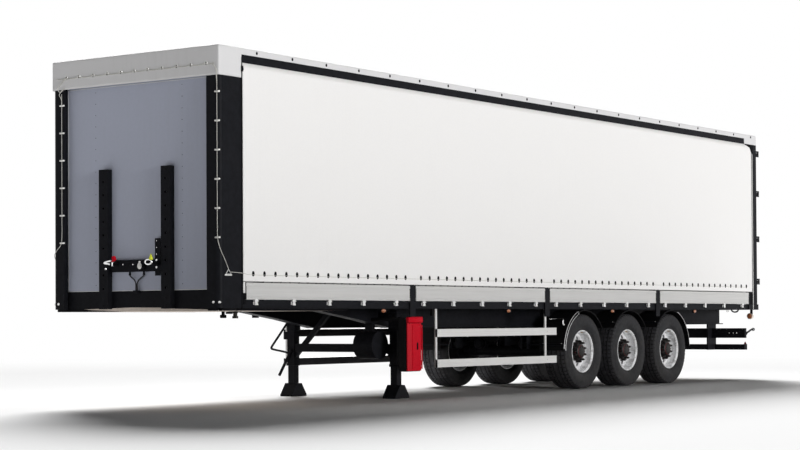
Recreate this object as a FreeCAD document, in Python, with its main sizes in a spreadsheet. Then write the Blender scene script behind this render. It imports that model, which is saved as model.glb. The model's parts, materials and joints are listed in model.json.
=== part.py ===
"""Three-axle curtain-side semi trailer, as a FreeCAD document.

Millimetres. +X is the front, +Y the left side, +Z up. The origin is on the ground under the
middle of the whole trailer. Every driving size is a cell of the sheet Sizes, every place that
follows from them is a property of Places, and the objects are bound to both.
"""
import FreeCAD, Part
import math
import os
import re
import Sketcher

# name, millimetres (or a plain count)
SIZES = (
    ("trailer_length", 13600),
    ("trailer_width", 2550),
    ("trailer_height", 4000),
    ("front_reach", 150),           # the air couplings stand this far out of the front face
    ("rear_reach", 59),             # the door hinges stand this far out of the rear face
    ("floor_height", 1215),
    ("floor_thickness", 28),
    ("sheet_thickness", 5),         # curtains and roof sheet
    ("rail_height", 89),
    ("rail_wall", 6),
    ("rail_flange", 55),
    ("rail_inset", 25),             # the rail's outer face lies this far inside the full width
    ("post_front_width", 183),
    ("post_side_length", 396),
    ("post_wall", 60),
    ("post_corner_radius", 70),
    ("sill_height", 204),
    ("wall_recess", 85),            # the front wall lies this far behind the posts' front
    ("sill_depth", 145),
    ("front_panel_thickness", 30),
    ("header_height", 150),
    ("roof_rail_height", 95),
    ("roof_rail_depth", 100),
    ("roof_bow_height", 65),
    ("roof_bow_width", 60),
    ("roof_bow_pitch", 1500),
    ("roof_bow_inset", 5),
    ("flap_height", 333),           # the roof sheet hangs this far down over the front wall
    ("corner_flap_length", 380),
    ("rear_corner_flap_length", 460),
    ("board_height", 189),
    ("board_thickness", 25),
    ("board_gap", 6),
    ("board_lap", 10),              # from the top of a board to the curtain's lower edge
    ("first_post_setback", 440),
    ("last_post_overhang", 300),    # the last post stands this far in front of the rear face
    ("stanchion_width", 118),
    ("stanchion_depth", 100),
    ("stanchion_drop", 190),        # the stanchion's foot hangs this far under the floor's top
    ("hinge_pin_radius", 5),
    ("hinge_knuckle_radius", 9),
    ("hinge_leaf", 3),
    ("hinge_width", 70),
    ("hinge_drop", 8),              # the pin lies this far under the floor's top
    ("hinge_first", 175),
    ("hinge_pitch", 670),
    ("channel_width", 134),
    ("channel_depth", 76),
    ("channel_wall", 8),
    ("channel_top", 2715),
    ("channel_spacing", 948),
    ("channel_hole_radius", 13),
    ("channel_hole_first", 140),
    ("channel_hole_pitch", 152),
    ("connector_standoff", 30),     # the plate lies this far out of the front wall
    ("connector_thickness", 6),
    ("connector_bottom", 1544),
    ("connector_height", 136),
    ("strip_width", 80),
    ("strip_inset", 45),
    ("strip_bottom", 1495),
    ("strip_height", 418),
    ("coupling_shell_radius", 26),
    ("socket_radius", 38),
    ("socket_length", 50),
    ("gland_radius", 11),
    ("gland_length", 14),
    ("cable_radius", 8),
    ("cable_entry_top", 1335),
    ("cable_entry_size", 60),
    ("beam_spacing", 1200),
    ("beam_flange_width", 140),
    ("beam_flange", 14),
    ("beam_web", 10),
    ("beam_depth", 300),
    ("beam_tail_depth", 296),
    ("neck_length", 2500),
    ("neck_slope", 800),            # behind the neck the beam first deepens by neck_drop
    ("neck_drop", 100),
    ("beam_slope", 1500),           # and has its full depth from here
    ("tail_length", 2300),
    ("tail_slope", 900),
    ("cross_first", 445),
    ("coupling_height", 1100),
    ("coupling_plate_thickness", 8),
    ("coupling_plate_length", 2250),
    ("coupling_plate_width", 2380),
    ("coupling_rib_inset", 40),
    ("king_pin_setback", 1760),
    ("king_pin_collar_radius", 35.7),
    ("king_pin_neck_radius", 25.4),
    ("king_pin_length", 84),
    ("cross_member_pitch", 496),
    ("cross_member_width", 45),
    ("cross_member_wall", 5),
    ("leg_setback", 3905),
    ("leg_spacing", 1650),
    ("leg_outer", 112),
    ("leg_inner", 98),
    ("leg_top_gap", 6),             # from the leg's top to the rail's lower face
    ("leg_outer_foot", 415),        # height of the outer tube's lower end
    ("foot_height", 170),
    ("foot_length", 300),
    ("foot_width", 200),
    ("foot_sole", 25),
    ("leg_bracket_half", 70),
    ("gearbox_bottom", 740),
    ("gearbox_top", 840),
    ("gearbox_depth", 70),
    ("gearbox_half", 45),
    ("gear_beam_bottom", 580),
    ("gear_beam_top", 685),
    ("gear_beam_half", 45),
    ("strut_drop", 80),             # the struts start this far under the cross beam's lower face
    ("strut_head", 136),            # their heads stand this far from the middle
    ("strut_head_width", 88),
    ("strut_thickness", 50),
    ("crank_gap", 20),              # from the leg's face to the crank's middle
    ("crank_radius", 11),
    ("crank_grip_radius", 15),
    ("rear_overhang", 3050),        # from the last axle to the rear face
    ("axle_spacing", 1310),
    ("wheel_spacing", 2090),
    ("tyre_radius", 530),
    ("tyre_width", 385),
    ("sidewall_radius", 183),
    ("shoulder_radius", 25),
    ("crown_radius", 2100),
    ("rim_radius", 300),
    ("rim_seat_radius", 286),
    ("tyre_seat_gap", 0.3),
    ("rim_width", 320),
    ("hub_bore_radius", 46),
    ("spindle_clearance", 0.05),
    ("axle_tube_radius", 73),
    ("mudguard_gap", 45),
    ("mudguard_thickness", 8),
    ("mudguard_width", 410),
    ("mudguard_block_half", 20),
    ("hanger_length", 160),
    ("hanger_setback", 440),        # the hangers stand this far in front of the axle
    ("hanger_wall", 10),
    ("arm_width", 80),
    ("arm_height", 60),
    ("arm_front", 560),
    ("arm_rear", 430),
    ("air_spring_radius", 135),
    ("air_spring_setback", 350),
    ("drum_radius", 210),
    ("drum_length", 165),
    ("drum_gap", 95),               # from the wheel's middle to the drum's outer face
    ("spindle_reach", 98),          # the spindle ends this far outside the wheel's middle
    ("hand_hole_radius", 30),
    ("hand_hole_circle", 195),
    ("guard_rail_height", 100),
    ("guard_rail_thickness", 25),
    ("guard_upper", 770),
    ("guard_lower", 385),
    ("guard_start", 4220),
    ("guard_gap", 770),             # from the guard's rear end to the first axle
    ("guard_inset", 35),            # the rails' back lies this far inside the rail's face
    ("guard_post_width", 60),
    ("guard_post_depth", 40),
    ("guard_front_post", 60),       # from the guard's front end to the post
    ("guard_rear_post", 270),
    ("fire_box_setback", 3650),
    ("fire_box_length", 300),
    ("fire_box_depth", 105),
    ("fire_box_height", 660),
    ("fire_box_bottom", 345),
    ("fire_box_wall", 8),
    ("fire_box_cap", 50),          # height of the fixed cap over the door
    ("fire_box_chamfer", 50),
    ("fire_box_door_gap", 7),
    ("fire_box_door_depth", 42),
    ("fire_box_door_edge", 12),     # depth of the door's front at its two sides
    ("fire_box_hinge_reach", 28),   # the pin lies this far in front of the box
    ("fire_box_hinge_gap", 6),      # and this far behind its rear side
    ("fire_box_pin_radius", 3),
    ("fire_box_knuckle_radius", 6),
    ("fire_box_leaf", 30),          # height of an ear and of an eye
    ("fire_box_frame_depth", 30),
    ("fire_box_arm_bottom", 975),
    ("fire_box_arm_height", 40),
    ("door_thickness", 40),
    ("door_gap", 6),
    ("door_hinge_reach", 45),       # the hinge pin lies this far behind the door's face
    ("door_knuckle_radius", 14),
    ("door_pin_radius", 7),
    ("door_seat_height", 26),
    ("door_leaf_height", 44),
    ("door_strap_length", 180),
    ("lock_bar_radius", 13),
    ("lock_bar_gap", 6),
    ("lock_handle_length", 300),
    ("lock_handle_bottom", 1560),
    ("lock_handle_height", 30),
    ("keeper_size", 60),
    ("rear_frame_depth", 185),
    ("tank_radius", 175),
    ("tank_length", 293),
    ("tank_setback", 3660),
    ("tank_z", 674),
    ("tank_gap", 12),               # from the left leg to the tank's end
    ("tank_strap_width", 44),
    ("tank_strap_depth", 120),
    ("underrun_top", 560),
    ("underrun_height", 90),
    ("lamp_beam_height", 160),
    ("lamp_beam_bottom", 665),
    ("lamp_beam_thickness", 60),
    ("lamp_beam_width", 2420),
    ("lamp_beam_front", 340),       # the lamp beam's rear side lies this far inside the rear face
    ("underrun_width", 2300),
    ("underrun_thickness", 100),
    ("underrun_bracket", 24),
    ("tail_lamp_inner", 720),
    ("tail_lamp_outer", 1160),
    ("tail_lamp_depth", 60),
    ("tail_lamp_border", 10),
    ("arm_lamp_radius", 32),
    ("arm_lamp_rod_radius", 11),
    ("side_lamp_length", 120),
    ("side_lamp_height", 50),
    ("side_lamp_depth", 30),
    ("corner_lamp_height", 130),
)

# name, formula over SIZES and earlier PLACES
PLACES = (
    ("half_width", "trailer_width / 2"),
    ("front_face", "(trailer_length + rear_reach - front_reach) / 2"),
    ("rear_face", "front_face - trailer_length"),
    ("side_face", "half_width - sheet_thickness"),
    ("rail_face", "half_width - rail_inset"),
    ("rail_bottom", "floor_height - rail_height"),
    ("deck_bottom", "floor_height - floor_thickness"),
    ("roof_rail_top", "trailer_height - sheet_thickness - roof_bow_height"),
    ("roof_rail_bottom", "roof_rail_top - roof_rail_height"),
    ("curtain_bottom", "floor_height + board_gap + board_height + board_lap"),
    ("post_back", "front_face - post_side_length"),
    ("frame_front", "rear_face + door_thickness + door_gap + rear_frame_depth"),
    ("frame_rear", "rear_face + door_thickness + door_gap"),
    ("rail_front", "post_back"),
    ("hinge_y", "half_width - hinge_knuckle_radius"),
    ("hinge_z", "floor_height - hinge_drop"),
    ("wall_face", "front_face - wall_recess"),
    ("king_pin_x", "front_face - king_pin_setback"),
    ("beam_y", "beam_spacing / 2"),
    ("beam_bottom", "deck_bottom - beam_depth"),
    ("tail_bottom", "deck_bottom - beam_tail_depth"),
    ("beam_rear", "rear_face + 95"),
    ("leg_x", "front_face - leg_setback"),
    ("leg_y", "leg_spacing / 2"),
    ("axle_x", "rear_face + rear_overhang + 2 * axle_spacing"),
    ("guard_end", "front_face - axle_x - guard_gap"),
    ("wheel_y", "wheel_spacing / 2"),
    ("wheel_z", "tyre_radius"),
    ("door_axis_x", "rear_face - door_hinge_reach"),
    ("door_axis_y", "half_width - door_knuckle_radius"),
    ("door_edge", "door_axis_y - 17"),
    ("fire_box_face", "rail_face - 85"),
    ("fire_box_rear", "front_face - fire_box_setback - fire_box_length"),
    ("fire_box_front", "front_face - fire_box_setback"),
    ("fire_box_inner", "fire_box_face - fire_box_depth"),
    ("fire_box_top", "fire_box_bottom + fire_box_height"),
    ("fire_box_hinge_x", "fire_box_rear - fire_box_hinge_gap"),
    ("fire_box_hinge_y", "fire_box_face + fire_box_hinge_reach"),
    ("door_bottom", "floor_height + 7"),
    ("door_top", "roof_rail_bottom - 10"),
    ("rear_post_inner", "side_face - 120"),
    ("arm_bottom", "wheel_z + axle_tube_radius"),
    ("channel_y", "channel_spacing / 2"),
    ("sill_top", "rail_bottom + sill_height"),
    ("member_bottom", "rail_bottom + rail_wall"),
    ("channel_inner", "channel_y - channel_width / 2"),
    ("connector_back", "wall_face + connector_standoff"),
    ("connector_front", "connector_back + connector_thickness"),
    ("cable_x", "connector_back + connector_thickness / 2"),
    ("cable_start", "connector_bottom - gland_length"),
    ("leg_inner_face", "leg_y - leg_outer / 2"),
    ("leg_outer_face", "leg_y + leg_outer / 2"),
    ("crank_x", "leg_x + leg_outer / 2 + crank_gap"),
    ("neck_foot_x", "front_face - neck_length - neck_slope"),
    ("beam_foot_x", "front_face - neck_length - beam_slope"),
    ("tank_x", "front_face - tank_setback"),
    ("lamp_beam_rear", "rear_face + lamp_beam_front"),
    ("stanchion_half", "stanchion_width / 2"),
    ("bay_length", "(trailer_length - first_post_setback - last_post_overhang) / 4"),
    ("tail_start", "trailer_length - tail_length"),
)

SIDES = (("left", 1), ("right", -1))
WORD = re.compile(r"\b(?!deg\b)[a-z_][a-z_0-9]*\b(?!\()")

doc = FreeCAD.newDocument("SemiTrailer")
nodes = []


# ---------------------------------------------------------------- sheet, places and formulas

sheet = doc.addObject("Spreadsheet::Sheet", "Sizes")
for row, (alias, amount) in enumerate(SIZES, start=1):
    sheet.set(f"A{row}", alias)
    sheet.set(f"B{row}", str(amount))
    sheet.setAlias(f"B{row}", alias)
doc.recompute()
SIZE_NAMES = {alias for alias, amount in SIZES}
places = doc.addObject("App::VarSet", "Places")


def bound(formula):
    """A formula with each name pointed at its own cell or place."""
    def point(match):
        name = match.group(0)
        return f"Sizes.{name}" if name in SIZE_NAMES else f"Places.{name}"
    return WORD.sub(point, str(formula))


def number(formula):
    """The formula's present amount, for first positions and for Part functions."""
    def amount(match):
        name = match.group(0)
        holder = sheet if name in SIZE_NAMES else places
        return f"({float(getattr(holder, name)):.9f})"
    return float(FreeCAD.Units.Quantity(WORD.sub(amount, str(formula))).Value)


for place, formula in PLACES:
    places.addProperty("App::PropertyFloat", place)
    places.setExpression(place, bound(formula))
    doc.recompute()


# ---------------------------------------------------------------- building blocks

def place_at(thing, x="0", y="0", z="0"):
    """Bind the three coordinates of an object's Placement."""
    for axis, formula in (("x", x), ("y", y), ("z", z)):
        thing.setExpression(f"Placement.Base.{axis}", bound(formula))
    return thing


def box(name, x, y, z):
    """A block from three (low, high) spans."""
    block = doc.addObject("Part::Box", name)
    for side, (low, high) in (("Length", x), ("Width", y), ("Height", z)):
        block.setExpression(side, bound(f"({high}) - ({low})"))
    return place_at(block, x[0], y[0], z[0])


def cylinder(name, radius, axis, along, x="0", y="0", z="0", angle=360):
    """A cylinder of the given radius over the span along one axis."""
    turns = {"x": FreeCAD.Rotation(FreeCAD.Vector(0, 1, 0), 90),
             "y": FreeCAD.Rotation(FreeCAD.Vector(1, 0, 0), -90),
             "z": FreeCAD.Rotation()}
    rod = doc.addObject("Part::Cylinder", name)
    rod.Placement = FreeCAD.Placement(FreeCAD.Vector(), turns[axis])
    rod.Angle = angle
    rod.setExpression("Radius", bound(radius))
    rod.setExpression("Height", bound(f"({along[1]}) - ({along[0]})"))
    centre = {"x": x, "y": y, "z": z}
    centre[axis] = along[0]
    return place_at(rod, **centre)


def fuse(name, things):
    """One solid from several that meet."""
    joined = doc.addObject("Part::MultiFuse", name)
    joined.Shapes = list(things)
    joined.Refine = True
    return joined


def cut(name, base, tools):
    """The base without its tools."""
    if len(tools) > 1:
        gathered = doc.addObject("Part::Compound", name + "_tools")
        gathered.Links = list(tools)
    else:
        gathered = tools[0]
    rest = doc.addObject("Part::Cut", name)
    rest.Base = base
    rest.Tool = gathered
    rest.Refine = True
    return rest


def group(name, things):
    """Like solids that don't touch, kept as one sub-part."""
    gathered = doc.addObject("Part::Compound", name)
    gathered.Links = list(things)
    return gathered


def node(label, thing):
    """Give a finished sub-part the name that its file gets."""
    thing.Label = label
    nodes.append(thing)
    return thing


def mirrored_span(sign, low, high):
    """A span across the trailer, on the left (+1) or the right (-1)."""
    return (low, high) if sign > 0 else (f"-({high})", f"-({low})")


def signed(sign, formula):
    return formula if sign > 0 else f"-({formula})"


def arc_between(start, end, radius):
    """The short arc of this radius from start round to end; a negative radius bends inwards."""
    first, last = (start, end) if radius > 0 else (end, start)
    chord = last - first
    reach = math.sqrt(radius ** 2 - (chord.Length / 2) ** 2)
    middle = (first + last) / 2
    centre = middle + FreeCAD.Vector(-chord.y, chord.x, 0) / chord.Length * reach
    turn = [math.atan2(end_point.y - centre.y, end_point.x - centre.x)
            for end_point in (first, last)]
    circle = Part.Circle(centre, FreeCAD.Vector(0, 0, 1), abs(radius))
    return Part.ArcOfCircle(circle, turn[0], turn[1])


def outline_sketch(body, role, outline):
    """A closed outline, corners in anticlockwise order, on one of the body's origin planes.

    A corner is (across, up) or (across, up, radius): a radius makes the next edge an arc.
    Each corner is held by two bound distances from the origin.
    """
    plane = [item for item in body.Origin.OriginFeatures if item.Role == role][0]
    sketch = body.newObject("Sketcher::SketchObject", body.Name + "_outline")
    sketch.AttachmentSupport = (plane, [""])
    sketch.MapMode = "FlatFace"
    corners = [FreeCAD.Vector(number(corner[0]), number(corner[1]), 0) for corner in outline]
    count = len(corners)
    radii = [number(corner[2]) if len(corner) > 2 else 0 for corner in outline]
    ends = []
    for index, radius in enumerate(radii):
        following = corners[(index + 1) % count]
        if radius:
            sketch.addGeometry(arc_between(corners[index], following, radius))
        else:
            sketch.addGeometry(Part.LineSegment(corners[index], following))
        ends.append((2, 1) if radius < 0 else (1, 2))
    for index in range(count):
        following = (index + 1) % count
        meeting = (index, ends[index][1], following, ends[following][0])
        sketch.addConstraint(Sketcher.Constraint("Coincident", *meeting))
    for index, corner in enumerate(outline):
        start = (corners[index].x, corners[index].y)
        for kind, formula, amount in zip(("DistanceX", "DistanceY"), corner, start):
            point = (-1, 1, index, ends[index][0])
            held = sketch.addConstraint(Sketcher.Constraint(kind, *point, amount))
            sketch.setExpression(f"Constraints[{held}]", bound(formula))
        if radii[index]:
            held = sketch.addConstraint(Sketcher.Constraint("Radius", index, abs(radii[index])))
            sketch.setExpression(f"Constraints[{held}]", bound(str(corner[2]).lstrip("-")))
    return sketch


def padded(name, role, outline, length, x="0", y="0", z="0", midplane=True, reverse=False):
    """A body padded from an outline of (across, up) formulas."""
    body = doc.addObject("PartDesign::Body", name)
    sketch = outline_sketch(body, role, outline)
    pad = body.newObject("PartDesign::Pad", name + "_pad")
    pad.Profile = sketch
    pad.setExpression("Length", bound(length))
    pad.Midplane = midplane
    pad.Reversed = reverse
    place_at(body, x, y, z)
    return body


def turned(name, outline, x="0", y="0", z="0"):
    """A body turned about its own Y axis from an outline of (along Y, radius) formulas."""
    body = doc.addObject("PartDesign::Body", name)
    sketch = outline_sketch(body, "XY_Plane", [(corner[1], corner[0]) + corner[2:] for corner in outline])
    spin = body.newObject("PartDesign::Revolution", name + "_spin")
    spin.Profile = sketch
    spin.ReferenceAxis = ([i for i in body.Origin.OriginFeatures if i.Role == "Y_Axis"][0], [""])
    spin.Angle = 360
    place_at(body, x, y, z)
    return body


def behind(setback):
    """A place this far behind the front face."""
    return f"front_face - ({setback})"


# ---------------------------------------------------------------- chassis

# distance behind the front face, height of the beam's lower face
BEAM_LINE = (
    ("sill_depth", "coupling_height + coupling_plate_thickness"),
    ("neck_length", "coupling_height + coupling_plate_thickness"),
    ("neck_length + neck_slope", "coupling_height - neck_drop"),
    ("neck_length + beam_slope", "beam_bottom"),
    ("tail_start", "beam_bottom"),
    ("tail_start + tail_slope", "tail_bottom"),
    ("front_face - beam_rear", "tail_bottom"),
)


def main_beams():
    """Two I-beams, shallow in the neck and deep behind the legs."""
    lower = [(behind(setback), height) for setback, height in BEAM_LINE]
    ends = [(lower[0][0], "deck_bottom"), ("frame_front", "deck_bottom"),
            ("frame_front", "rail_bottom"), (lower[-1][0], "rail_bottom")]
    # anticlockwise as seen on the sketch: along the bottom to the front, back over the top
    web_line = list(reversed(lower)) + ends
    flange_line = list(reversed(lower)) + [(along, f"{up} + beam_flange") for along, up in lower]
    beams = []
    for side, sign in SIDES:
        name = "beam_" + side
        middle = signed(sign, "beam_y")
        web = padded(name + "_web", "XZ_Plane", web_line, "beam_web", y=middle)
        foot = padded(name + "_foot", "XZ_Plane", flange_line, "beam_flange_width", y=middle)
        top = box(name + "_top", ("frame_front", lower[0][0]),
                  (f"{middle} - beam_flange_width / 2", f"{middle} + beam_flange_width / 2"),
                  ("deck_bottom - beam_flange", "deck_bottom"))
        beams.append(fuse(name, [web, foot, top]))
    return node("main_beams", group("main_beams", beams))


def cross_members(beams):
    """C-sections from rail to rail, cut where they meet the beams."""
    last = number("trailer_length - rear_frame_depth - cross_first")
    count = int((last - number("cross_first")) // number("cross_member_pitch")) + 1
    reach = ("-(rail_face - rail_wall)", "rail_face - rail_wall")
    low = "member_bottom"
    bars = []
    for index in range(count):
        name = f"cross_{index + 1}"
        rear = behind(f"cross_first + {index} * cross_member_pitch")
        front = f"{rear} + cross_member_width"
        web = box(name + "_web", (rear, f"{rear} + cross_member_wall"), reach, (low, "deck_bottom"))
        top = box(name + "_top", (rear, front), reach,
                  ("deck_bottom - cross_member_wall", "deck_bottom"))
        foot = box(name + "_foot", (rear, front), reach, (low, f"{low} + cross_member_wall"))
        bars.append(fuse(name, [web, top, foot]))
    return node("cross_members", cut("cross_members", group("cross_bars", bars), [beams]))


def side_rails():
    """Two C-section rails that carry the boards; their open sides face inwards."""
    inner = "rail_face - rail_flange"
    section = [(inner, "rail_bottom"), ("rail_face", "rail_bottom"), ("rail_face", "floor_height"),
               (inner, "floor_height"), (inner, "floor_height - rail_wall"),
               ("rail_face - rail_wall", "floor_height - rail_wall"),
               ("rail_face - rail_wall", "rail_bottom + rail_wall"),
               (inner, "rail_bottom + rail_wall")]
    length = "rail_front - frame_front"
    left = padded("rail_left", "YZ_Plane", section, length, x="frame_front", midplane=False)
    mirror = doc.addObject("Part::Mirroring", "rail_right")
    mirror.Source = left
    mirror.Normal = FreeCAD.Vector(0, 1, 0)
    return node("side_rails", group("side_rails", [left, mirror]))


def floor_deck():
    edge = "rail_face - rail_flange"
    deck = box("floor_deck", ("frame_front", "front_face - sill_depth"), (f"-({edge})", edge),
               ("deck_bottom", "floor_height"))
    return node("floor_deck", deck)


def coupling():
    """The rubbing plate under the neck and its pin."""
    half = "coupling_plate_width / 2"
    rear = behind("sill_depth + coupling_plate_length")
    thick = "coupling_plate_thickness"
    top = f"coupling_height + {thick}"
    pieces = [box("coupling_sheet", (rear, "wall_face"), (f"-{half}", half), ("coupling_height", top)),
              box("coupling_lip", (f"wall_face - {thick}", "wall_face"), (f"-{half}", half),
                  (top, "rail_bottom"))]
    for side, sign in SIDES:
        across = mirrored_span(sign, f"{half} - coupling_rib_inset - {thick}",
                               f"{half} - coupling_rib_inset")
        pieces.append(box("coupling_rib_" + side, (rear, behind("sill_depth")), across,
                          (top, "member_bottom")))
    plate = fuse("coupling_plate", pieces)
    node("coupling_plate", plate)
    # radius, top and bottom of each step, measured down from the plate
    steps = (
        ("king_pin_collar_radius", "0", "21"),
        ("king_pin_neck_radius", "21", "56"),
        ("king_pin_collar_radius", "56", "king_pin_length"),
    )
    rods = [cylinder(f"king_pin_step_{index}", radius, "z",
                     (f"coupling_height - ({low})", f"coupling_height - ({top})"), x="king_pin_x")
            for index, (radius, top, low) in enumerate(steps)]
    node("king_pin", fuse("king_pin", rods))


# ---------------------------------------------------------------- body

def front_frame():
    """Two angled corner posts joined by a sill and a header."""
    pieces = []
    for side, sign in SIDES:
        section = [("post_back", "side_face - post_wall"),
                   ("front_face - post_wall", "side_face - post_wall"),
                   ("front_face - post_wall", "side_face - post_front_width"),
                   ("front_face", "side_face - post_front_width"),
                   ("front_face", "side_face - post_corner_radius", "post_corner_radius"),
                   ("front_face - post_corner_radius", "side_face"),
                   ("post_back", "side_face")]
        if sign < 0:
            mirror = doc.addObject("Part::Mirroring", "post_right")
            mirror.Source = pieces[0]
            mirror.Normal = FreeCAD.Vector(0, 1, 0)
            pieces.append(mirror)
        else:
            pieces.append(padded("post_left", "XY_Plane", section, "roof_rail_top - rail_bottom",
                                 z="rail_bottom", midplane=False))
    inner = "side_face - post_wall"
    depth = (behind("sill_depth"), "wall_face")
    pieces.append(box("front_sill", depth, (f"-({inner})", inner), ("rail_bottom", "sill_top")))
    pieces.append(box("front_header", depth, (f"-({inner})", inner),
                      ("roof_rail_top - header_height", "roof_rail_top")))
    pieces.append(box("cable_entry", ("wall_face", "wall_face + cable_entry_size"),
                      ("-cable_entry_size / 2", "cable_entry_size / 2"),
                      ("cable_entry_top - cable_entry_size / 2", "cable_entry_top")))
    node("front_frame", fuse("front_frame", pieces))
    panel = box("front_wall", ("wall_face - front_panel_thickness", "wall_face"),
                (f"-({inner})", inner), ("sill_top", "roof_rail_top - header_height"))
    node("front_wall", panel)


def front_channels():
    """Two upright channels on the front wall with a column of holes each."""
    pieces = []
    for side, sign in SIDES:
        name = "channel_" + side
        middle = signed(sign, "channel_y")
        half = "channel_width / 2"
        reach = "wall_face + channel_depth"
        tall = ("rail_bottom", "channel_top")
        outer = box(name + "_outer", ("wall_face", reach), (f"{middle} - {half}", f"{middle} + {half}"),
                    tall)
        hollow = box(name + "_hollow", ("wall_face", f"{reach} - channel_wall"),
                     (f"{middle} - {half} + channel_wall", f"{middle} + {half} - channel_wall"), tall)
        holes = [cylinder(f"{name}_hole_{index}", "channel_hole_radius", "x",
                          (f"{reach} - 2 * channel_wall", f"{reach} + channel_wall"), y=middle,
                          z=f"channel_top - channel_hole_first - {index} * channel_hole_pitch")
                 for index in range(9)]
        pieces.append(cut(name, outer, [hollow] + holes))
    node("front_channels", group("front_channels", pieces))


def roof_frame():
    """Two roof rails with bows across them."""
    pieces = []
    for side, sign in SIDES:
        across = mirrored_span(sign, "side_face - roof_rail_depth", "side_face")
        pieces.append(box("roof_rail_" + side, ("frame_front", "post_back"), across,
                          ("roof_rail_bottom", "roof_rail_top")))
    span = number("post_back - frame_front - roof_bow_width")
    count = int(span // number("roof_bow_pitch")) + 1
    for index in range(count):
        front = f"post_back - {index} * roof_bow_pitch"
        pieces.append(box(f"roof_bow_{index + 1}", (f"{front} - roof_bow_width", front),
                          ("-(side_face - roof_bow_inset)", "side_face - roof_bow_inset"),
                          ("roof_rail_top", "roof_rail_top + roof_bow_height")))
    node("roof_frame", fuse("roof_frame", pieces))


def roof_sheet():
    """The roof's cloth with its front and rear flaps and the strip along each side."""
    rear = "frame_rear"
    top = box("roof_top", (f"{rear} - sheet_thickness", "front_face + sheet_thickness"),
              ("-half_width", "half_width"), ("trailer_height - sheet_thickness", "trailer_height"))
    under = "trailer_height - sheet_thickness"
    pieces = [top]
    pieces.append(box("front_flap", ("front_face", "front_face + sheet_thickness"),
                      ("-half_width", "half_width"), ("trailer_height - flap_height", under)))
    pieces.append(box("rear_flap", (f"{rear} - sheet_thickness", rear),
                      ("-half_width", "half_width"), ("roof_rail_bottom + 4", under)))
    for side, sign in SIDES:
        across = mirrored_span(sign, "side_face", "half_width")
        pieces.append(box("valance_" + side, (rear, "front_face"), across,
                          ("roof_rail_top - 5", under)))
        pieces.append(box("corner_flap_" + side, (behind("corner_flap_length"), "front_face"), across,
                          ("trailer_height - flap_height", under)))
        pieces.append(box("rear_corner_flap_" + side, (rear, f"{rear} + rear_corner_flap_length"),
                          across, ("roof_rail_bottom", under)))
    node("roof_sheet", fuse("roof_sheet", pieces))


def side_curtains():
    for side, sign in SIDES:
        curtain = box("side_curtain_" + side, ("frame_front", "post_back"),
                      mirrored_span(sign, "side_face", "half_width"),
                      ("curtain_bottom", "roof_rail_bottom"))
        node("side_curtain_" + side, curtain)


def bay_edge(index):
    return f"first_post_setback + {index} * bay_length"


def side_posts():
    """Three posts a side between floor and roof rail, each with a foot plate over the rail."""
    pieces = []
    for side, sign in SIDES:
        for index in (1, 2, 3):
            name = f"side_post_{side}_{index}"
            middle = behind(bay_edge(index))
            upright = box(name + "_upright", (f"{middle} - 50", f"{middle} + 50"),
                          mirrored_span(sign, "rail_face - stanchion_depth", "rail_face"),
                          ("floor_height", "roof_rail_bottom"))
            plate = box(name + "_plate", (f"{middle} - stanchion_half", f"{middle} + stanchion_half"),
                        mirrored_span(sign, "rail_face", "side_face - 2"),
                        ("floor_height - stanchion_drop", "curtain_bottom - board_lap"))
            pieces.append(fuse(name, [upright, plate]))
    node("side_posts", group("side_posts", pieces))


# ---------------------------------------------------------------- drop boards

def board_span(index):
    """Front and rear end of a board, as distances behind the front face."""
    front = "first_post_setback + 10"
    if index:
        front = f"{bay_edge(index)} + stanchion_half + board_gap"
    return front, f"{bay_edge(index + 1)} - stanchion_half - board_gap"


def hinge_places(index):
    """As many hinges as fit a board at their pitch, as distances behind the front face."""
    front, rear = board_span(index)
    room = number(f"({rear}) - ({front}) - hinge_first - hinge_width / 2")
    count = int(room // number("hinge_pitch")) + 1
    return [f"{front} + hinge_first + {turn} * hinge_pitch" for turn in range(count)]


def drop_boards():
    for side, sign in SIDES:
        fixed = []
        for index in range(4):
            front, rear = board_span(index)
            name = f"drop_board_{side}_{index + 1}"
            low = "floor_height + board_gap"
            panel = box(name + "_panel", (behind(rear), behind(front)),
                        mirrored_span(sign, "side_face - board_thickness", "side_face"),
                        (low, f"{low} + board_height"))
            moving = [panel]
            for turn, setback in enumerate(hinge_places(index)):
                moving.append(moving_hinge(f"{name}_hinge_{turn + 1}", sign, behind(setback)))
                fixed.append(fixed_hinge(f"{name}_seat_{turn + 1}", sign, behind(setback)))
            node(name, fuse(name, moving))
        node("board_hinges_" + side, group("board_hinges_" + side, fixed))


def moving_hinge(name, sign, middle):
    """A leaf on the board with its bored knuckle."""
    half = "hinge_width * 3 / 14"
    span = (f"{middle} - {half}", f"{middle} + {half}")
    leaf = box(name + "_leaf", span, mirrored_span(sign, "side_face", "side_face + hinge_leaf"),
               ("hinge_z", "hinge_z + 95"))
    knuckle = cylinder(name + "_knuckle", "hinge_knuckle_radius", "x", span,
                       y=signed(sign, "hinge_y"), z="hinge_z")
    bore = cylinder(name + "_bore", "hinge_pin_radius + spindle_clearance", "x", span,
                    y=signed(sign, "hinge_y"), z="hinge_z")
    return cut(name, fuse(name + "_whole", [leaf, knuckle]), [bore])


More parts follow.
